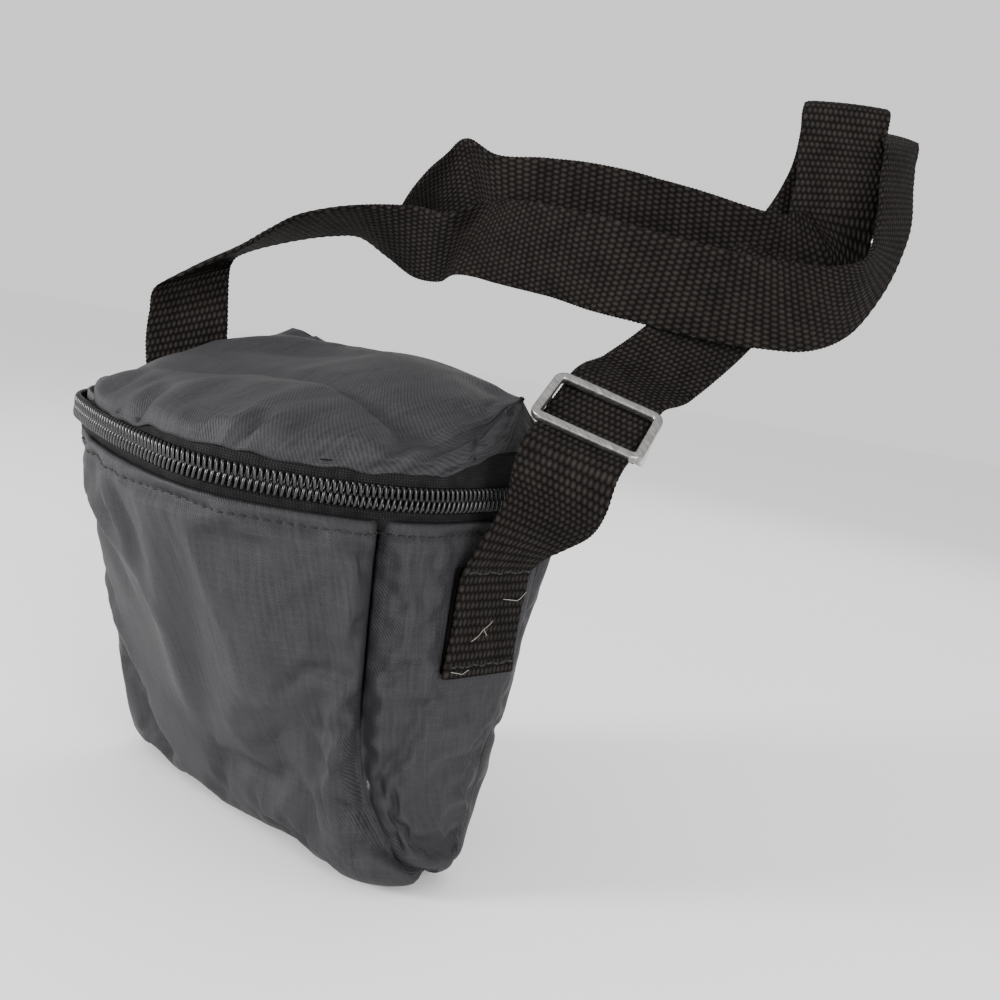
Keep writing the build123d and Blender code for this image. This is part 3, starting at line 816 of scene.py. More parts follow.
def binding_section(edge, up, legs):
    """A tape folded over a raw edge: up is the way it folds; legs are the heights of its ends from the edge."""
    outer, inner = legs
    section = [(BIND_OUT, outer), (BIND_OUT, 0.0)]
    section += [(BIND_OUT + 0.5, up * 0.5), (BIND_IN - 0.6, up * 0.5), (BIND_IN, 0.0)]
    section += zip((BIND_IN + 0.25, BIND_IN + 0.2, BIND_IN - 0.2), inner)
    return [(inset, edge + rise) for inset, rise in section]


body_bind = binding_section(TOP + 0.8, 1, (-1.8, (-2.8, -6.3, -6.5)))
mouth_binding = ring_object("mouth_binding_tape", body_bind, BINDING, 0.45)
finish_piece(mouth_binding, "bag", "binding", "mouth_binding")


# ---------------------------------------------------------------- the lid
FRONT_MIDDLE = Level(1.0).front_middle
GABLE_Y = 6.0
NO_PLACE = 999.0  # an arc length that no fold of the front is near


def lid_seam_z(x, y, along):
    """Height of the seam between the lid's cloth and the upper tape, before the tilt."""
    dip = -2.6 * bump(along, -16.0, 15.0)
    lift = 7.2 * smooth(-17, 9, y) * (1 - smooth(13, 34, y)) * smooth(38, 54, x)
    uneven = 0.35 * np.sin(along / 3.7 + 0.9 * np.sin(along / 9.0)) + 0.2 * np.sin(along / 1.7)
    corner = 1.2 * smooth(40, 55, -x) * (1 - smooth(20, 30, y))
    return LID_Z + dip + lift + uneven * (1 - smooth(-8, 3, y)) + corner


LID_FOLDS = (  # line as (along the seam from the front's middle, distance up the lid), half width, rise
    (((30.5, 0.6), (30.8, 4), (30.0, 9)), 1.7, -1.5),
    (((33.0, -1), (34.0, 6), (33.5, 12)), 2.0, 1.3),
    (((27.5, -1), (27.0, 6), (26.0, 12)), 2.0, 1.2),
    (((-4.0, 0.8), (-4.4, 4), (-5.0, 7)), 1.7, -1.0),
    (((-8.5, 0), (-9.0, 6), (-10.0, 12)), 2.4, 0.6),
    (((41.0, 0.8), (41.4, 3), (42.0, 6)), 1.6, -0.5),
    (((53.0, 0.8), (53.6, 4), (54.0, 7)), 1.7, -0.5),
    (((16.0, 0.8), (16.2, 3), (16.5, 5)), 1.6, -0.4),
    (((72.0, 0.8), (73.0, 4), (75.0, 8)), 2.0, -0.8),
    (((79.0, 0), (80.0, 5), (81.0, 10)), 2.6, 1.2),
    (((-38.0, 2), (-30.0, 8), (-22.0, 12)), 3.0, 0.7),
)
TOP_FOLDS = (  # line as (x, y) over the lid, half width, rise
    (((-46.0, -20.0), (-30.0, -2.0), (-16.0, 12.0)), 6.0, 1.1),
    (((-40.0, -32.0), (-22.0, -10.0), (4.0, 4.0)), 5.0, -0.9),
    (((-30.0, -44.0), (-6.0, -29.0), (16.0, -21.0), (38.0, -20.0), (53.0, -12.0)), 4.5, -2.4),
)
PILLOW = ((-14.0, -52.0), (14.0, -42.0), (34.0, -34.0), (47.0, -22.0))


def lid_inset(x, y):
    """How far the lid's seam stands in from the chain: more at the left front corner."""
    return 6.2 * smooth(26, 54, -x) * (1 - smooth(8, 26, y))


def lid_half(edge, along, tip, r, seam_z, ridge_z, front):
    """Half of the lid, from its seam up to the ridge, with the arc and distance of each point."""
    reach = np.linalg.norm(tip - edge, axis=-1)
    plan = mix(edge[None], tip[None], r[:, None, None])
    distance = reach[None] * r[:, None]
    tilt = sagged(np.c_[edge, np.zeros(len(edge))], 1.0)[:, 2]
    z = mix((seam_z + tilt)[None], ridge_z[None], r[:, None])
    full = (smooth(-54, -22, edge[:, 0]) if front else 0.35) * smooth(10, 30, reach)[None]
    rim = 4.2 * full * (1 - np.exp(-distance / 3.2)) * np.exp(-distance / 26.0)
    crest = np.exp(-(((reach[None] - distance) / 7.0) ** 2))
    z = z + rim - crest + 1.2 * full * np.sin(math.pi * r)[:, None]
    return np.concatenate([plan, z[..., None]], -1), np.broadcast_to(along, z.shape), distance


def lid_grid(columns, rows):
    """The lid's cloth as a grid: columns from gable to gable, rows from the front seam over the ridge."""
    level = Level(1.0)
    left, right = arc_at(level, GABLE_Y, "left"), arc_at(level, GABLE_Y, "right")
    u = column_places(columns)
    arcs = (left + (right - left) * u, left - (left + level.arc[-1] - right) * u)
    edges = [level.at(arc) for arc in arcs]
    r = np.linspace(0, 1, rows) ** 1.25
    x = np.clip(0.88 * (edges[0][:, 0] + edges[1][:, 0]) / 2, -50, 48)
    y = RIDGE_Y - 2.0 * smooth(10, 48, x) - 3.0 * smooth(16, 48, -x) + 1.5 * np.sin(x / 23.0)
    z = RIDGE_Z + RIDGE_FALL * x + 0.8 * np.sin(x / 15.0 + 0.7)
    z = z + 1.4 * bump(x, -36.0, 13.0) + 0.8 * smooth(20, 46, x)
    tip = np.stack([x, y], -1)
    halves = []
    for arc, edge, turn in zip(arcs, edges, (1, -1)):
        edge = edge + turn * inward(edge) * lid_inset(edge[:, 0], edge[:, 1])[:, None]
        along = arc - FRONT_MIDDLE
        seam_z = lid_seam_z(edge[:, 0], edge[:, 1], along if turn > 0 else np.full(columns, NO_PLACE))
        halves.append(lid_half(edge, along, tip, r, seam_z, z, turn > 0))
    points, along, distance = (np.concatenate([front, back[::-1][1:]]) for front, back in zip(*halves))
    steps = np.linalg.norm(np.diff(points, axis=0), axis=-1)
    run = np.concatenate([np.zeros((1, columns)), np.cumsum(steps, axis=0)])
    flat = np.stack([points[..., 0], run], -1)
    normal = grid_normals(points)
    normal = normal if normal[..., 2].sum() > 0 else -normal
    calm = gable_calm(points, rows)
    rise = lid_relief(points, along, distance, rows, np.minimum(u, 1 - u)) * calm
    return points + normal * rise[..., None], flat, calm


def gable_calm(points, rows):
    """0 at the ridge's two ends, where the grid's columns run together, and 1 away from them."""
    gaps = [np.linalg.norm(points - points[rows - 1, end], axis=-1) for end in (0, -1)]
    return smooth(1.5, 14.0, np.minimum(*gaps))


def lid_relief(points, along, distance, rows, room):
    """Rise of the lid's cloth; room is how far each column is from the nearer gable, from 0 to 0.5."""
    x, y = points[..., 0], points[..., 1]
    front_side = np.arange(points.shape[0])[:, None] < rows
    along = np.where(front_side, along, NO_PLACE)
    rise = folds(LID_FOLDS, along, distance) + folds(TOP_FOLDS, x, y)
    rise += 2.6 * near_line(x, y, PILLOW, 13.0) * smooth(0, 6, distance)
    ripple = np.sin(along / 2.6 + 1.7 * np.sin(along / 11.0)) * np.exp(-distance / 5.0)
    rise += 0.35 * ripple * smooth(0, 1.5, distance) * front_side
    rise += 0.7 * np.sin(x / 13.0 + y / 19.0) * smooth(6, 20, distance)
    return rise * smooth(0, 0.06, room)[None] - 1.2 * np.exp(-((distance / 1.6) ** 2))


def smoothed(points, passes):
    """A grid with its inner points evened out."""
    points = points.copy()
    for _ in range(passes):
        mean = (points[:-2, 1:-1] + points[2:, 1:-1] + points[1:-1, :-2] + points[1:-1, 2:]) / 4
        points[1:-1, 1:-1] = mix(points[1:-1, 1:-1], mean, 0.7)
    return points


def layer_under(points, depth):
    """The same surface further in, smoother, for the layers inside the lid."""
    even = smoothed(points, 12)
    from_seam = np.minimum.reduce([np.linalg.norm(even - even[row], axis=-1) for row in (0, -1)])
    even[..., 0] *= 1 - depth / (MOUTH["width"] / 2)
    even[..., 1] = mix(even[..., 1], MOUTH["centre_y"], depth / (MOUTH["depth"] / 2))
    even[..., 2] -= depth * 1.3 * smooth(-2, 9, from_seam)
    return even


LID_COLUMNS, LID_ROWS = 190, 56
LID_MIDDLE = (0, 10, 100)
lid_points, lid_flat, lid_calm = lid_grid(LID_COLUMNS, LID_ROWS)
coarse, _, _ = lid_grid(64, 20)
pinned = np.zeros(coarse.shape[:2], bool)
pinned[[0, -1]] = True
pinned[:, [0, 1, -2, -1]] = True
lid_offsets = settle_cloth(coarse, pinned, 1.6, 0.03)
lid_offsets = spread_offsets(lid_offsets, np.linspace(0, 1, 2 * LID_ROWS - 1), np.linspace(0, 1, LID_COLUMNS))
lid_points += lid_offsets * lid_calm[..., None]
lid_cloth = sheet_object("lid_cloth", lid_points, lid_flat, NYLON, CLOTH, LID_MIDDLE, weld=True)
finish_piece(lid_cloth, "lid", "nylon", "lid_crown", fill=0.5)

coarse_lid, coarse_flat = lid_points[::2, ::2], lid_flat[::2, ::2]
lining_points = layer_under(coarse_lid, 5.6)
for row, turn in ((0, 1), (-1, -1)):  # the lining's rim runs out under the binding
    rim_xy = lining_points[row][:, :2]
    rim_xy = rim_xy - turn * inward(rim_xy) * lid_inset(rim_xy[:, 0], rim_xy[:, 1])[:, None]
    lining_points[row] = sagged(np.c_[rim_xy, np.full(len(rim_xy), LID_Z - 1.2)], 1.0)
lid_lining = sheet_object("lid_lining_cloth", lining_points, coarse_flat, LINING, 0.5, LID_MIDDLE, weld=True)
finish_piece(lid_lining, "lid", "red_lining", "lid_lining", fill=0.5)
foam_points = layer_under(coarse_lid, 2.6)
lid_foam = sheet_object("lid_foam_sheet", foam_points, coarse_flat, FOAM, 1.4, LID_MIDDLE, weld=True)
finish_piece(lid_foam, "lid", "foam", "lid_foam", fill=0.8)
lid_bind = binding_section(LID_Z - 3.0, -1, (1.8, (1.1, 2.0, 2.1)))
lid_binding = ring_object("lid_binding_tape", lid_bind, BINDING, 0.45)
finish_piece(lid_binding, "lid", "binding", "lid_binding")


# ---------------------------------------------------------------- zip
ZIP_END_Y, UPPER_LEFT_END_Y = 28.0, 16.0


def zip_span(left_end):
    return lambda level: (arc_at(level, left_end, "left"), arc_at(level, ZIP_END_Y, "right"))


tape_section = [(2.1, TOP - 2.5), (1.7, TOP), (1.35, TOP + 2.2), (1.15, CHAIN_Z - 0.5)]
lower_tape = ring_object("lower_zip_tape_cloth", tape_section, TAPE, 0.5, span=zip_span(ZIP_END_Y))
finish_piece(lower_tape, "bag", "zip_tape", "lower_zip_tape")


def upper_tape_object():
    """The upper tape follows the lid's seam, which isn't level."""
    level = Level(1.0, 1.3)
    arc = np.linspace(*zip_span(UPPER_LEFT_END_Y)(level), 320)
    xy = level.at(arc)
    top = lid_seam_z(xy[:, 0], xy[:, 1], arc - FRONT_MIDDLE) + 1.2
    low = np.full(len(arc), CHAIN_Z + 0.5)
    rows, flat = [], []
    for s in np.linspace(0, 1, 9):
        lean = -0.15 + 0.8 * s + s * lid_inset(xy[:, 0], xy[:, 1])
        rows.append(np.c_[xy + inward(xy) * lean[:, None], mix(low, top, s)])
        flat.append(np.c_[arc, mix(low, top, s)])
    return sheet_object("upper_zip_tape_cloth", sagged(np.array(rows), 1.0), np.array(flat), TAPE, 0.5)


finish_piece(upper_tape_object(), "lid", "zip_tape", "upper_zip_tape")


def coil_object(name, side, left_end, phase):
    """One coil of the zip: a flattened helix of monofilament that runs along the chain."""
    level = Level(1.0, 0.35)
    first, last = zip_span(left_end)(level)
    turns = int((last - first) / COIL_PITCH)
    theta = np.linspace(0, 2 * math.pi * turns, turns * 12 + 1)
    arc = first + COIL_PITCH * (theta / (2 * math.pi) + phase)
    ahead = unit(level.at(arc + 0.5) - level.at(arc - 0.5))
    out = np.stack([ahead[:, 1], -ahead[:, 0]], -1)
    squared = np.sign(np.cos(theta)) * np.abs(np.cos(theta)) ** 0.7
    z = CHAIN_Z + side * 1.32 + side * COIL_HALF * 1.12 * squared
    path = sagged(np.c_[level.at(arc) + out * (COIL_DEPTH * 0.62 * np.sin(theta))[:, None], z], 1.0)
    return tubes_object(name, [tube(path, COIL_WIRE, 7, np.c_[ahead, np.zeros(len(ahead))])], COIL)


ZIP_HALVES = (("lower", -1, ZIP_END_Y, 0.0, "bag"), ("upper", 1, UPPER_LEFT_END_Y, 0.5, "lid"))
for part, side, left_end, phase, body in ZIP_HALVES:
    coil = coil_object(f"{part}_zip_coil_teeth", side, left_end, phase)
    finish_piece(coil, body, "zip_coil", f"{part}_zip_coil")
for part, side, left_end, _, body in ZIP_HALVES:
    blocks = []
    for sign, end in ((-1, left_end), (1, ZIP_END_Y)):
        x = sign * (MOUTH["width"] / 2 - 0.4)
        at = sagged(np.array([[x, end + 1.0, CHAIN_Z]]), 1.0)[0] + np.array((0, 0, side * 1.6))
        blocks.append(rounded_box(f"{part}_stops_block", (2.2, 2.0, 2.9), at, ZIP_METAL, 0.5))
    finish_piece(joined(blocks, f"{part}_stops_metal"), body, "zip_metal", f"{part}_zip_stops")


# ---------------------------------------------------------------- hinge band
def hinge_band():
    """Strip of cloth across the back, sewn to the body and to the lid, that the lid turns on."""
    level = Level(1.0, 1.0)
    first = arc_at(level, ZIP_END_Y + 1, "right")
    last = level.arc[-1] + arc_at(level, ZIP_END_Y + 1, "left")
    arc = np.linspace(first, last, 120)
    xy = level.at(arc)
    heights = np.linspace(TOP - 1.5, LID_Z + 1.5, 26)
    rows, flat = [], []
    for z in heights:
        swell = math.sin(math.pi * (z - heights[0]) / (heights[-1] - heights[0]))
        lean = -0.5 + 0.9 * swell + 0.12 * np.sin(arc / 4.0) * swell
        rows.append(np.c_[xy - inward(xy) * lean[:, None], np.full(len(arc), z)])
        flat.append(np.c_[arc, np.full(len(arc), z)])
    return sagged(np.array(rows), 1.0), np.array(flat), last - first, heights[-1] - heights[0]


band_points, band_flat, band_length, band_height = hinge_band()
hinge_cloth = sheet_object("hinge_cloth", band_points, band_flat, NYLON, 0.6)
finish_piece(hinge_cloth, None, "nylon", "back_hinge_band", "lid_back_band")
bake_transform(hinge_cloth)


# ---------------------------------------------------------------- topstitching
def sample(values, arc, at):
    return np.stack([np.interp(at, arc, values[:, k]) for k in range(values.shape[1])], -1)


def stitch_rings(path, normal, first, pitch, length, lift, bend, radius, up=None):
    """Short stitches of thread laid on a path, each a little arc that dips at both ends."""
    arc = arc_lengths(path)
    s = np.linspace(0, 1, 5)
    rings = []
    for start in np.arange(first, arc[-1] - length, pitch):
        out = sample(normal, arc, start + s * length)
        at = sample(path, arc, start + s * length) + out * (lift * (bend * np.sin(math.pi * s) - 0.9))[:, None]
        rings.append(tube(at, radius, 6, np.cross(at[-1] - at[0], out[2]) if up is None else up))
    return rings


stitch_row = len(EDGE_ROLL) + int(np.argmin(np.abs(HEIGHTS - (TOP - STITCH_DROP))))
for place, surface in walls.items():
    normal = outward_normals(surface)[stitch_row]
    rings = stitch_rings(surface[stitch_row] + 0.05 * normal, normal, 0.4, 2.7, 2.1, 0.27, 1.5, 0.27)
    finish_piece(tubes_object(place + "_stitching", rings, BLACK_THREAD), "bag", "thread")


# ---------------------------------------------------------------- webbing strap
def spline(points, spacing):
    """Smooth curve through points, sampled at about even spacing of its first three numbers."""
    points = np.array(points, float)
    padded = np.concatenate([2 * points[:1] - points[1:2], points, 2 * points[-1:] - points[-2:-1]])
    knots = arc_lengths(points[:, :3])
    out = []
    for i in range(len(points) - 1):
        p0, p1, p2, p3 = padded[i:i + 4]
        h = max(knots[i + 1] - knots[i], 1e-6)
        h0, h1 = np.linalg.norm((p1 - p0)[:3]), np.linalg.norm((p3 - p2)[:3])
        m1 = ((p1 - p0) / max(h0, 1e-6) * h + (p2 - p1) / h * h0) / max(h0 + h, 1e-6)
        m2 = ((p2 - p1) / h * h1 + (p3 - p2) / max(h1, 1e-6) * h) / max(h1 + h, 1e-6)
        t = np.linspace(0, 1, max(2, int(h / 0.5)), endpoint=False)[:, None]
        out.append((2 * t**3 - 3 * t**2 + 1) * p1 + (t**3 - 2 * t**2 + t) * h * m1
                   + (3 * t**2 - 2 * t**3) * p2 + (t**3 - t**2) * h * m2)
    out = np.concatenate(out + [points[-1:]])
    arc = arc_lengths(out[:, :3])
    even = np.linspace(0, arc[-1], int(arc[-1] / spacing) + 1)
    return sample(out, arc, even), even


NUB_PITCH = 1.3


def ribbon_object(name, stations, seed):
    """Woven webbing through stations of centre, direction across and share of its width: a thick strip."""
    rows = []
    for station in stations:
        centre, across, share = station[:3], np.array(station[3:6], float), (*station, 1.0)[6]
        rows.append((*centre, *(across / np.linalg.norm(across) * WEB * share / 2)))
    line, arc = spline(rows, 0.42)
    centre, half = line[:, :3], line[:, 3:]
    width = np.linalg.norm(half, axis=1)
    across = half / width[:, None]
    rng = np.random.default_rng(seed)
    normal = unit(np.cross(unit(np.gradient(centre, axis=0)), across))
    places = np.concatenate([[-1, -0.985], np.linspace(-0.95, 0.95, 21), [0.985, 1]])
    nub = np.abs(np.sin(math.pi * arc / NUB_PITCH))
    cup = 0.5 * np.sin(arc / 31.0 + seed) + 0.35 * np.sin(arc / 13.0 + 2.1 * seed)
    wander = np.interp(arc, np.linspace(0, arc[-1], 40), rng.normal(0, 0.22, 40))
    layers = []
    for side in (1, -1):
        grid = []
        for u in places:
            edge = smooth(0.94, 1.0, abs(u))
            reach = u * (width + 0.32 * edge * (nub - 0.4) + wander * edge)
            rise = side * WEB_THICK / 2 * (1 - 0.62 * edge) + cup * (u * u - 0.35)
            stagger = math.pi * (round((u + 1) * 10) % 2)
            rise = rise + side * 0.10 * np.sin(2 * math.pi * arc / (2 * NUB_PITCH) + stagger) * (1 - edge)
            grid.append(centre + across * reach[:, None] + normal * rise[:, None])
        layers.append(np.stack(grid, 1))
    ring = np.concatenate([layers[0], layers[1][:, ::-1]], 1)
    count, sides = ring.shape[:2]
    flat_u = np.concatenate([places, places[::-1]]) * WEB / 2
    flat = np.stack(np.broadcast_arrays(flat_u[None, :], arc[:, None]), -1)
    wrap = np.concatenate([flat, flat[:, :1]], 1)
    loop_uv = wrap.reshape(-1, 2)[grid_faces(count, sides + 1).ravel()] * MM
    caps = [[base + k, base + k + 1, base + sides - 2 - k, base + sides - 1 - k]
            for base in (0, (count - 1) * sides) for k in range(sides // 2 - 1)]
    cap_uv = flat.reshape(-1, 2)[np.array(caps).ravel()] * MM
    faces = grid_faces(count, sides, True).tolist() + caps
    return make_object(name, ring, faces, WEBBING, np.concatenate([loop_uv, cap_uv]))


SLIDE_CENTRE = np.array((72.6, 17.3, 124.8))
SLIDE_ALONG = np.array(Vector((-0.27, 0.775, 0.573)).normalized())
SLIDE_ACROSS = np.array(Vector((0.851, 0.47, -0.234)).normalized())
SLIDE_UP = np.cross(SLIDE_ACROSS, SLIDE_ALONG)
SLIDE_WIDTH, SLIDE_LENGTH, SLIDE_BAR, SLIDE_THICK = 29.8, 20.0, 2.4, 2.4
LOOP_THICK, LOOP_LEG, BAR_RADIUS, SLIDE_CLEAR = 1.3, 11.0, 1.3, 0.2
BAR_DROP = WEB_THICK / 2 + SLIDE_CLEAR + LOOP_THICK + 0.15 + BAR_RADIUS
TAIL_DROP = BAR_DROP + BAR_RADIUS + 0.15 + LOOP_THICK + SLIDE_CLEAR + WEB_THICK / 2


def on_slide(across=0.0, along=0.0, up=0.0):
    return SLIDE_CENTRE + SLIDE_ACROSS * across + SLIDE_ALONG * along + SLIDE_UP * up


def through_slide(along, up=0.0):
    """A strap's station in the slide's own axes."""
    return (*on_slide(along=along, up=up), *SLIDE_ACROSS)


FOOT_Z = 57.0
RIGHT_FOOT_Y, LEFT_FOOT_Y = 5.0, -7.0
# Each station is the webbing's centre and direction across it, and its share of the width where it isn't 1.
SHORT_STRAP = (
    (59.9, 5, FOOT_Z, 0, 1, 0), (59.6, 5, 68, 0, 1, 0), (59.9, 5, 78, 0, 1, 0), (60.4, 5, 84, 0, 1, 0),
    (62, 7, 89, 0.05, 1, -0.1), (65.5, 9, 95, 0.2, 0.95, -0.25), (71, 8, 101.5, 0.45, 0.82, -0.33),
    (76, 4, 109, 0.72, 0.62, -0.3),
    through_slide(-18), through_slide(-6), through_slide(6), through_slide(14),
    (66.3, 46, 139, 0.8, 0.5, -0.33), (66, 59, 147, 0.76, 0.52, -0.4), (66, 85, 167, 0.75, 0.5, -0.43),
    (67, 107, 188, 0.75, 0.5, -0.43), (67, 120, 207, 0.8, 0.5, -0.27), (66.5, 123, 222, 0.86, 0.49, -0.1),
    (65.8, 123.5, 230.5, 0.88, 0.47, 0), (67, 122, 232, 0.88, 0.47, 0), (68.4, 120, 230.5, 0.88, 0.47, 0),
    (70.5, 117, 219, 0.87, 0.48, 0.03), (74, 113, 207, 0.85, 0.5, 0.08), (75.5, 110.5, 195, 0.8, 0.55, 0),
    (77.5, 111.5, 183, 0.46, 0.4, -0.79, 1.35), (66, 100, 181, 0, 0.1, -1), (50, 84, 183, 0, 0.15, -1),
    (28, 66, 186, 0, 0.1, -1), (9, 55, 186, 0.05, 0.1, -1), (-5, 50, 186, 0.2, 0.15, -0.97),
    (-16, 50, 191, 0.25, 0.3, -0.9), (-30, 50, 187, -0.4, 0.6, -0.68), (-45, 53, 178, -0.45, 0.7, -0.5),
    (-55, 58, 174, -0.5, 0.75, -0.35),
)
LONG_STRAP = (
    (-59.9, -7, FOOT_Z, 0, 1, 0), (-59.6, -7, 68, 0, 1, 0), (-59.9, -7, 78, 0, 1, 0), (-60.5, -7, 84, 0, 1, 0),
    (-64, -8, 98, 0.1, 1, 0), (-69, -9, 116, 0.42, 0.86, 0.3), (-71.5, -10, 137, 0.45, 0.8, 0.4),
    (-73, -9, 145, 0.18, 0.9, 0.4), (-73, -4, 150, -0.37, 0.88, 0.3), (-69.5, 5, 157, -0.75, 0.66, 0.07),
    (-63, 14, 163.5, -0.61, 0.79, 0.01), (-57.5, 24, 169, -0.42, 0.91, -0.08),
    (-52.5, 33, 172, -0.5, 0.84, -0.22), (-44, 40, 171, -0.46, 0.7, -0.55),
    (-32.5, 44.5, 169, -0.36, 0.45, -0.82), (-21, 46.7, 168.3, -0.44, 0.44, -0.79),
    (-12.4, 48.3, 172.5, -0.29, -0.1, -0.95), (5, 45.5, 171.5, -0.15, 0.05, -0.98),
    (27.6, 45.2, 169.2, -0.07, 0.09, -0.99), (56, 50.6, 165.2, -0.19, 0, -0.97),
    (80.6, 68, 163.3, -0.09, 0.39, -0.92), (88.8, 81, 165, 0.11, 0.47, -0.88),
    (93.3, 92, 169, -0.04, 0.75, -0.66), (96.2, 101, 177, -0.15, 0.96, -0.24),
    (95, 111.4, 190, -0.07, 0.98, 0.16), (87.8, 124, 209.7, -0.05, 0.98, 0.18),
    (82.3, 132.4, 223, -0.02, 0.99, 0.16),
    (79.5, 136, 225.5, 0.1, 0.97, 0.12), (76, 139, 222, 0.3, 0.93, 0), (71, 139, 210, 0.55, 0.8, -0.15),
    (64, 131, 195, 0.68, 0.62, -0.35), (60, 115, 183, 0.72, 0.52, -0.42), (58.5, 92, 164, 0.75, 0.5, -0.43),
    (59, 66, 145.5, 0.77, 0.5, -0.38), through_slide(24, -TAIL_DROP), through_slide(8, -TAIL_DROP),
)
for name, node, stations, seed, side in (
    ("short_strap_web", "short_strap", SHORT_STRAP, 3, 1),
    ("long_strap_web", "long_strap", LONG_STRAP, 8, -1),
):
    web = ribbon_object(name, stations, seed)
    finish_piece(web, None, "webbing", node)
    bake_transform(web)

UP = np.array((0, 0, 1.0))
for side, name, y in ((1, "right", RIGHT_FOOT_Y), (-1, "left", LEFT_FOOT_Y)):
    centre = (side * 58.1, y, FOOT_Z + 14.2)
    under = rounded_box(f"{name}_foot_layer", (1.0, WEB - 0.8, 27.0), centre, WEBBING, 0.3)
    finish_piece(under, "bag", "webbing", f"{name}_strap_foot")
    rings = []
    for height, stand_off in ((60.0, 0.05), (84.0, 0.55)):
        ys = np.linspace(y - WEB / 2 + 1.0, y + WEB / 2 - 1.0, 30)
        x = side * (59.9 + WEB_THICK / 2 + stand_off)
        path = np.c_[np.full(30, x), ys, np.full(30, height) + 0.25 * np.sin(ys)]
        rings += stitch_rings(path, np.tile((side, 0.0, 0.0), (30, 1)), 0.2, 2.6, 2.0, 0.28, 1.4, 0.3, UP)
    foot_thread = tubes_object(f"{name}_foot_thread", rings, BLACK_THREAD)
    finish_piece(foot_thread, "bag", "thread", f"{name}_foot_stitching")


# ---------------------------------------------------------------- slide on the strap
def bar_ring(path, out, up, width, thick, corner=0.55, sides=16):
    """Closed ring of a rounded rectangular section along a path; out and up are directions at each point."""
    angle = np.linspace(0, 2 * math.pi, sides, endpoint=False) + math.pi / sides
    cx = np.sign(np.cos(angle)) * np.abs(np.cos(angle)) ** corner * width / 2
    cz = np.sign(np.sin(angle)) * np.abs(np.sin(angle)) ** corner * thick / 2
    return path[:, None] + cx[None, :, None] * out[:, None] + cz[None, :, None] * up[:, None]


def slide_frame_object():
    """A die-cast frame: a rounded rectangle of bar, with two lugs down to the bar under it."""
    half_w, half_l, corner = SLIDE_WIDTH / 2 - SLIDE_BAR / 2, SLIDE_LENGTH / 2 - SLIDE_BAR / 2, 2.0
    path, out = [], []
    for sx, sy, start in ((1, 1, 0), (-1, 1, 90), (-1, -1, 180), (1, -1, 270)):
        for angle in np.radians(np.linspace(start, start + 90, 9)):
            cos, sin = math.cos(angle), math.sin(angle)
            path.append((sx * (half_w - corner) + corner * cos, sy * (half_l - corner) + corner * sin))
            out.append((cos, sin))
    path, out = np.array(path), np.array(out)
    base = WEB_THICK / 2 + SLIDE_CLEAR + SLIDE_THICK / 2
    bow = -0.5 * (path[:, 0] / half_w) ** 2 + 0.3
    centre = np.array([on_slide(a, b, base + c) for (a, b), c in zip(path, bow)])
    across = out[:, :1] * SLIDE_ACROSS + out[:, 1:] * SLIDE_ALONG
    ring = bar_ring(centre, across, np.tile(SLIDE_UP, (len(path), 1)), SLIDE_BAR, SLIDE_THICK)
    count, sides = ring.shape[:2]
    a = np.arange(count * sides).reshape(count, sides)
    b = np.roll(a, -1, 0)
    faces = np.stack([a, np.roll(a, -1, 1), np.roll(b, -1, 1), b], -1).reshape(-1, 4).tolist()
    points = [ring.reshape(-1, 3)]
    lug_heights = np.linspace(-BAR_DROP - BAR_RADIUS - 0.2, base, 9)
    for number, sx in enumerate((1, -1)):
        lug_path = np.array([on_slide(sx * half_w, 0, up) for up in lug_heights])
        lug = bar_ring(lug_path, np.tile(SLIDE_ACROSS, (9, 1)), np.tile(SLIDE_ALONG, (9, 1)), SLIDE_BAR, 4.0)
        faces += closed_tube_faces(9, sides, (count + 9 * number) * sides)
        points.append(lug.reshape(-1, 3))
    return make_object("slide_frame_cast", np.concatenate(points), faces, SLIDE_METAL)


finish_piece(slide_frame_object(), "adjuster", "slide_metal", "slide_frame")
bar_half = SLIDE_WIDTH / 2 - 0.3
bar_path = np.array([on_slide(a, 0, -BAR_DROP) for a in np.linspace(-bar_half, bar_half, 24)])
slide_bar = tubes_object("slide_bar_pin", [tube(bar_path, BAR_RADIUS, 20, SLIDE_ALONG)], SLIDE_METAL)
finish_piece(slide_bar, "adjuster", "slide_metal", "slide_bar")


def strap_loop_object():
    """The short end of webbing folded round the slide's bar and sewn back on itself."""
    radius = BAR_RADIUS + 0.15 + LOOP_THICK / 2
    profile = [(LOOP_LEG, radius - 0.2)] + [(x, radius) for x in np.linspace(LOOP_LEG - 1, 0.5, 10)]
    profile += [(-radius * math.sin(a), radius * math.cos(a)) for a in np.linspace(0, math.pi, 15)]
    profile += [(x, -radius) for x in np.linspace(0.5, LOOP_LEG - 1, 10)] + [(LOOP_LEG, -radius + 0.2)]
    arc = arc_lengths(np.array(profile))
    columns = np.linspace(-WEB / 2, WEB / 2, 26)
    points = np.array([[on_slide(u, a, b - BAR_DROP) for u in columns] for a, b in profile])
    flat = np.stack(np.broadcast_arrays(columns[None, :], arc[:, None]), -1)
    middle = tuple(on_slide(0, 3, -BAR_DROP))
    obj = sheet_object("strap_loop_web", points, flat, WEBBING, LOOP_THICK - 0.1, middle)
    obj.modifiers["cloth"].offset = 0
    return obj


finish_piece(strap_loop_object(), "adjuster", "webbing", "strap_loop")


# ---------------------------------------------------------------- slider and pull
SLIDER_Z = CHAIN_Z + 3.2


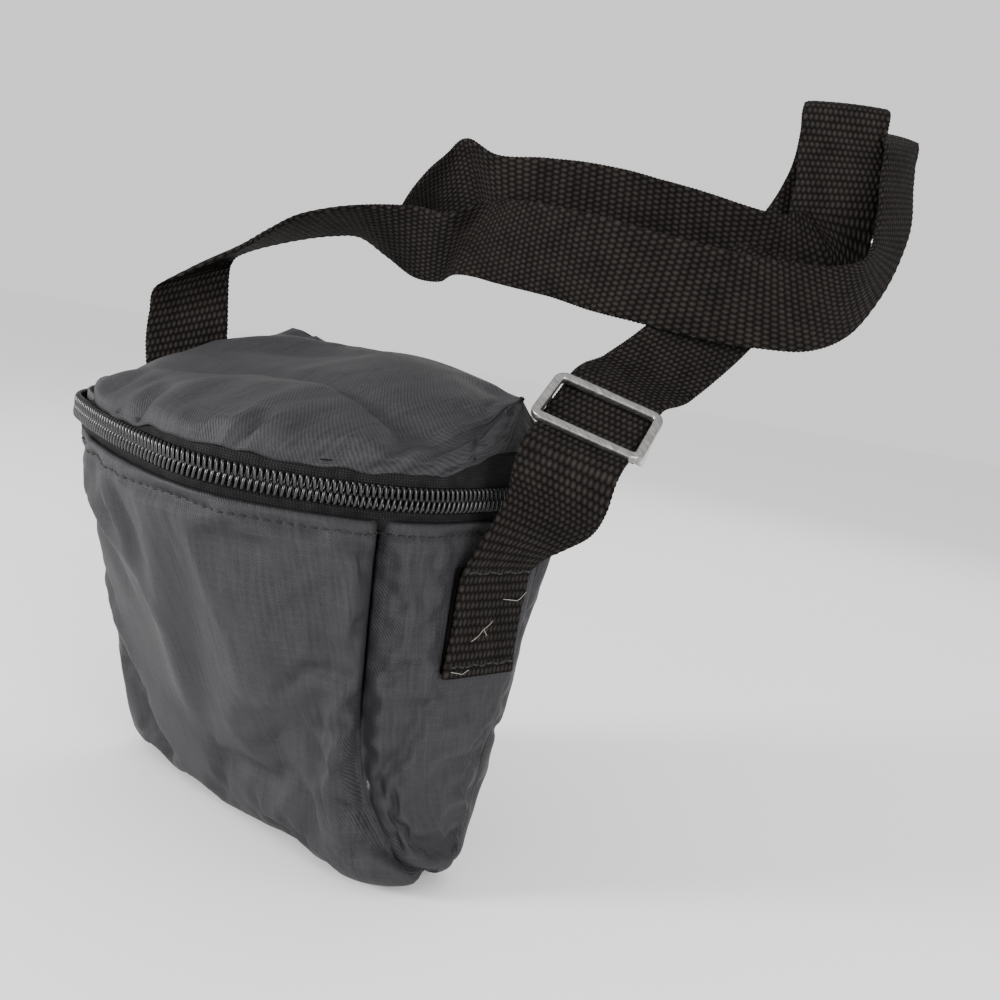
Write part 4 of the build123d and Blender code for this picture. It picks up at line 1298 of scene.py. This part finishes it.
def slider_object():
    """Slider with two shaped plates, a neck between them, and the bridge that holds the pull."""
    at = np.array((-MOUTH["width"] / 2, SLIDER_Y, SLIDER_Z))
    parts = [
        rounded_box("slider_outer", (1.2, 8.0, 6.6), at + (-1.9, 0, 0), ZIP_METAL, 0.55, 4),
        rounded_box("slider_inner", (1.2, 8.0, 6.6), at + (2.2, 0, 0), ZIP_METAL, 0.55, 4),
        rounded_box("slider_neck", (3.6, 1.6, 0.8), at + (0.3, 3.0, 0), ZIP_METAL, 0.2),
    ]
    angle = np.linspace(0, math.pi, 13)
    path = np.c_[at[0] - 2.3 - 1.9 * np.sin(angle), SLIDER_Y + 2.6 * np.cos(angle), np.full(13, at[2])]
    parts.append(tubes_object("slider_bridge", [tube(path, 0.62, 10, UP)], ZIP_METAL))
    return joined(parts, "zip_slider_body")


def pull_object():
    """Flat pull tab that hangs back from the bridge."""
    x0 = -59.25
    y = np.linspace(-0.6, 15.6, 34)
    half = 1.55 + 0.5 * smooth(8, 13, y) - 1.6 * smooth(14.6, 15.8, y)
    across = np.linspace(-1, 1, 9)
    points = np.array([[(x0 + 0.1 * math.cos(yy / 3), SLIDER_Y + yy, SLIDER_Z + h * a) for a in across]
                       for yy, h in zip(y, half)])
    flat = np.stack(np.broadcast_arrays(across[None, :] * 2, y[:, None]), -1)
    obj = sheet_object("zip_pull_tab", points, flat, ZIP_METAL, 0.9, (-40, 30, 107))
    obj.modifiers["cloth"].offset = 0
    bevel = obj.modifiers.new("round", "BEVEL")
    bevel.width, bevel.segments, bevel.limit_method, bevel.angle_limit = 0.25 * MM, 2, "ANGLE", math.radians(50)
    return obj


finish_piece(slider_object(), "slider", "zip_metal", "zip_slider")
finish_piece(pull_object(), "pull", "zip_metal", "zip_pull")


# ---------------------------------------------------------------- frayed threads at the right foot
FOOT_FACE_X = 60.75
FRAYS = (  # points as (y, z) on the right gusset's webbing
    ((-1.0, 66.5), (2.5, 69.5), (5.5, 71.5)),
    ((2.5, 69.5), (4.0, 67.5)),
    ((8.0, 77.0), (13.0, 76.5), (17.0, 78.5)),
    ((-6.5, 59.0), (-3.0, 58.4), (0.0, 59.0)),
)
fray_rings = []
for number, line in enumerate(FRAYS):
    line = np.array(line)
    s = np.linspace(0, 1, 14)
    arc = arc_lengths(line)
    lift = 0.3 + 0.5 * np.sin(math.pi * s) + 0.15 * np.sin(9 * s + number)
    path = np.c_[FOOT_FACE_X + lift, sample(line, arc, s * arc[-1])]
    fray_rings.append(tube(path, 0.09, 6, np.array((1.0, 0, 0))))
finish_piece(tubes_object("right_foot_frayed_thread", fray_rings, PALE_THREAD), "bag", "thread")


# ---------------------------------------------------------------- floor, lights and camera, in metres
bpy.ops.mesh.primitive_plane_add(size=60.0, location=(0, 0, -0.0006))
floor = bpy.context.object
floor.name = "floor"
floor.data.materials.append(paper())

TARGET = (0.0, 0.0, 0.09)
LIGHTS = (  # name, place, size, power
    ("key", (-0.46, -1.0, 0.36), 0.3, 20),
    ("fill", (1.0, -0.35, 0.34), 0.6, 13),
    ("back", (-0.3, 0.9, 0.8), 0.7, 3),
)
for name, place, size, power in LIGHTS:
    light = bpy.data.lights.new(name, "AREA")
    light.shape, light.size, light.energy = "DISK", size, power
    lamp = bpy.data.objects.new(name, light)
    bpy.context.scene.collection.objects.link(lamp)
    lamp.location = place
    lamp.rotation_euler = (Vector(TARGET) - Vector(place)).to_track_quat("-Z", "Y").to_euler()

world = bpy.data.worlds.new("studio")
bpy.context.scene.world = world
world.use_nodes = True
world.node_tree.nodes["Background"].inputs["Color"].default_value = (1, 1, 1, 1)
world.node_tree.nodes["Background"].inputs["Strength"].default_value = 1.1

camera_data = bpy.data.cameras.new("camera")
camera_data.lens, camera_data.sensor_width = 39.62, 36.0
camera_data.clip_start, camera_data.clip_end = 0.01, 20
camera = bpy.data.objects.new("camera", camera_data)
bpy.context.scene.collection.objects.link(camera)
camera_right, camera_up = Vector((0.7276, 0.6637, 0.1737)), Vector((-0.2068, -0.0292, 0.9779))
camera_back = camera_right.cross(camera_up).normalized()
camera_up = camera_back.cross(camera_right).normalized()
turned = Matrix((camera_right, camera_up, camera_back)).transposed().to_4x4()
camera.matrix_world = Matrix.Translation(Vector((237.2, -201.0, 133.6)) * MM) @ turned
bpy.context.scene.camera = camera
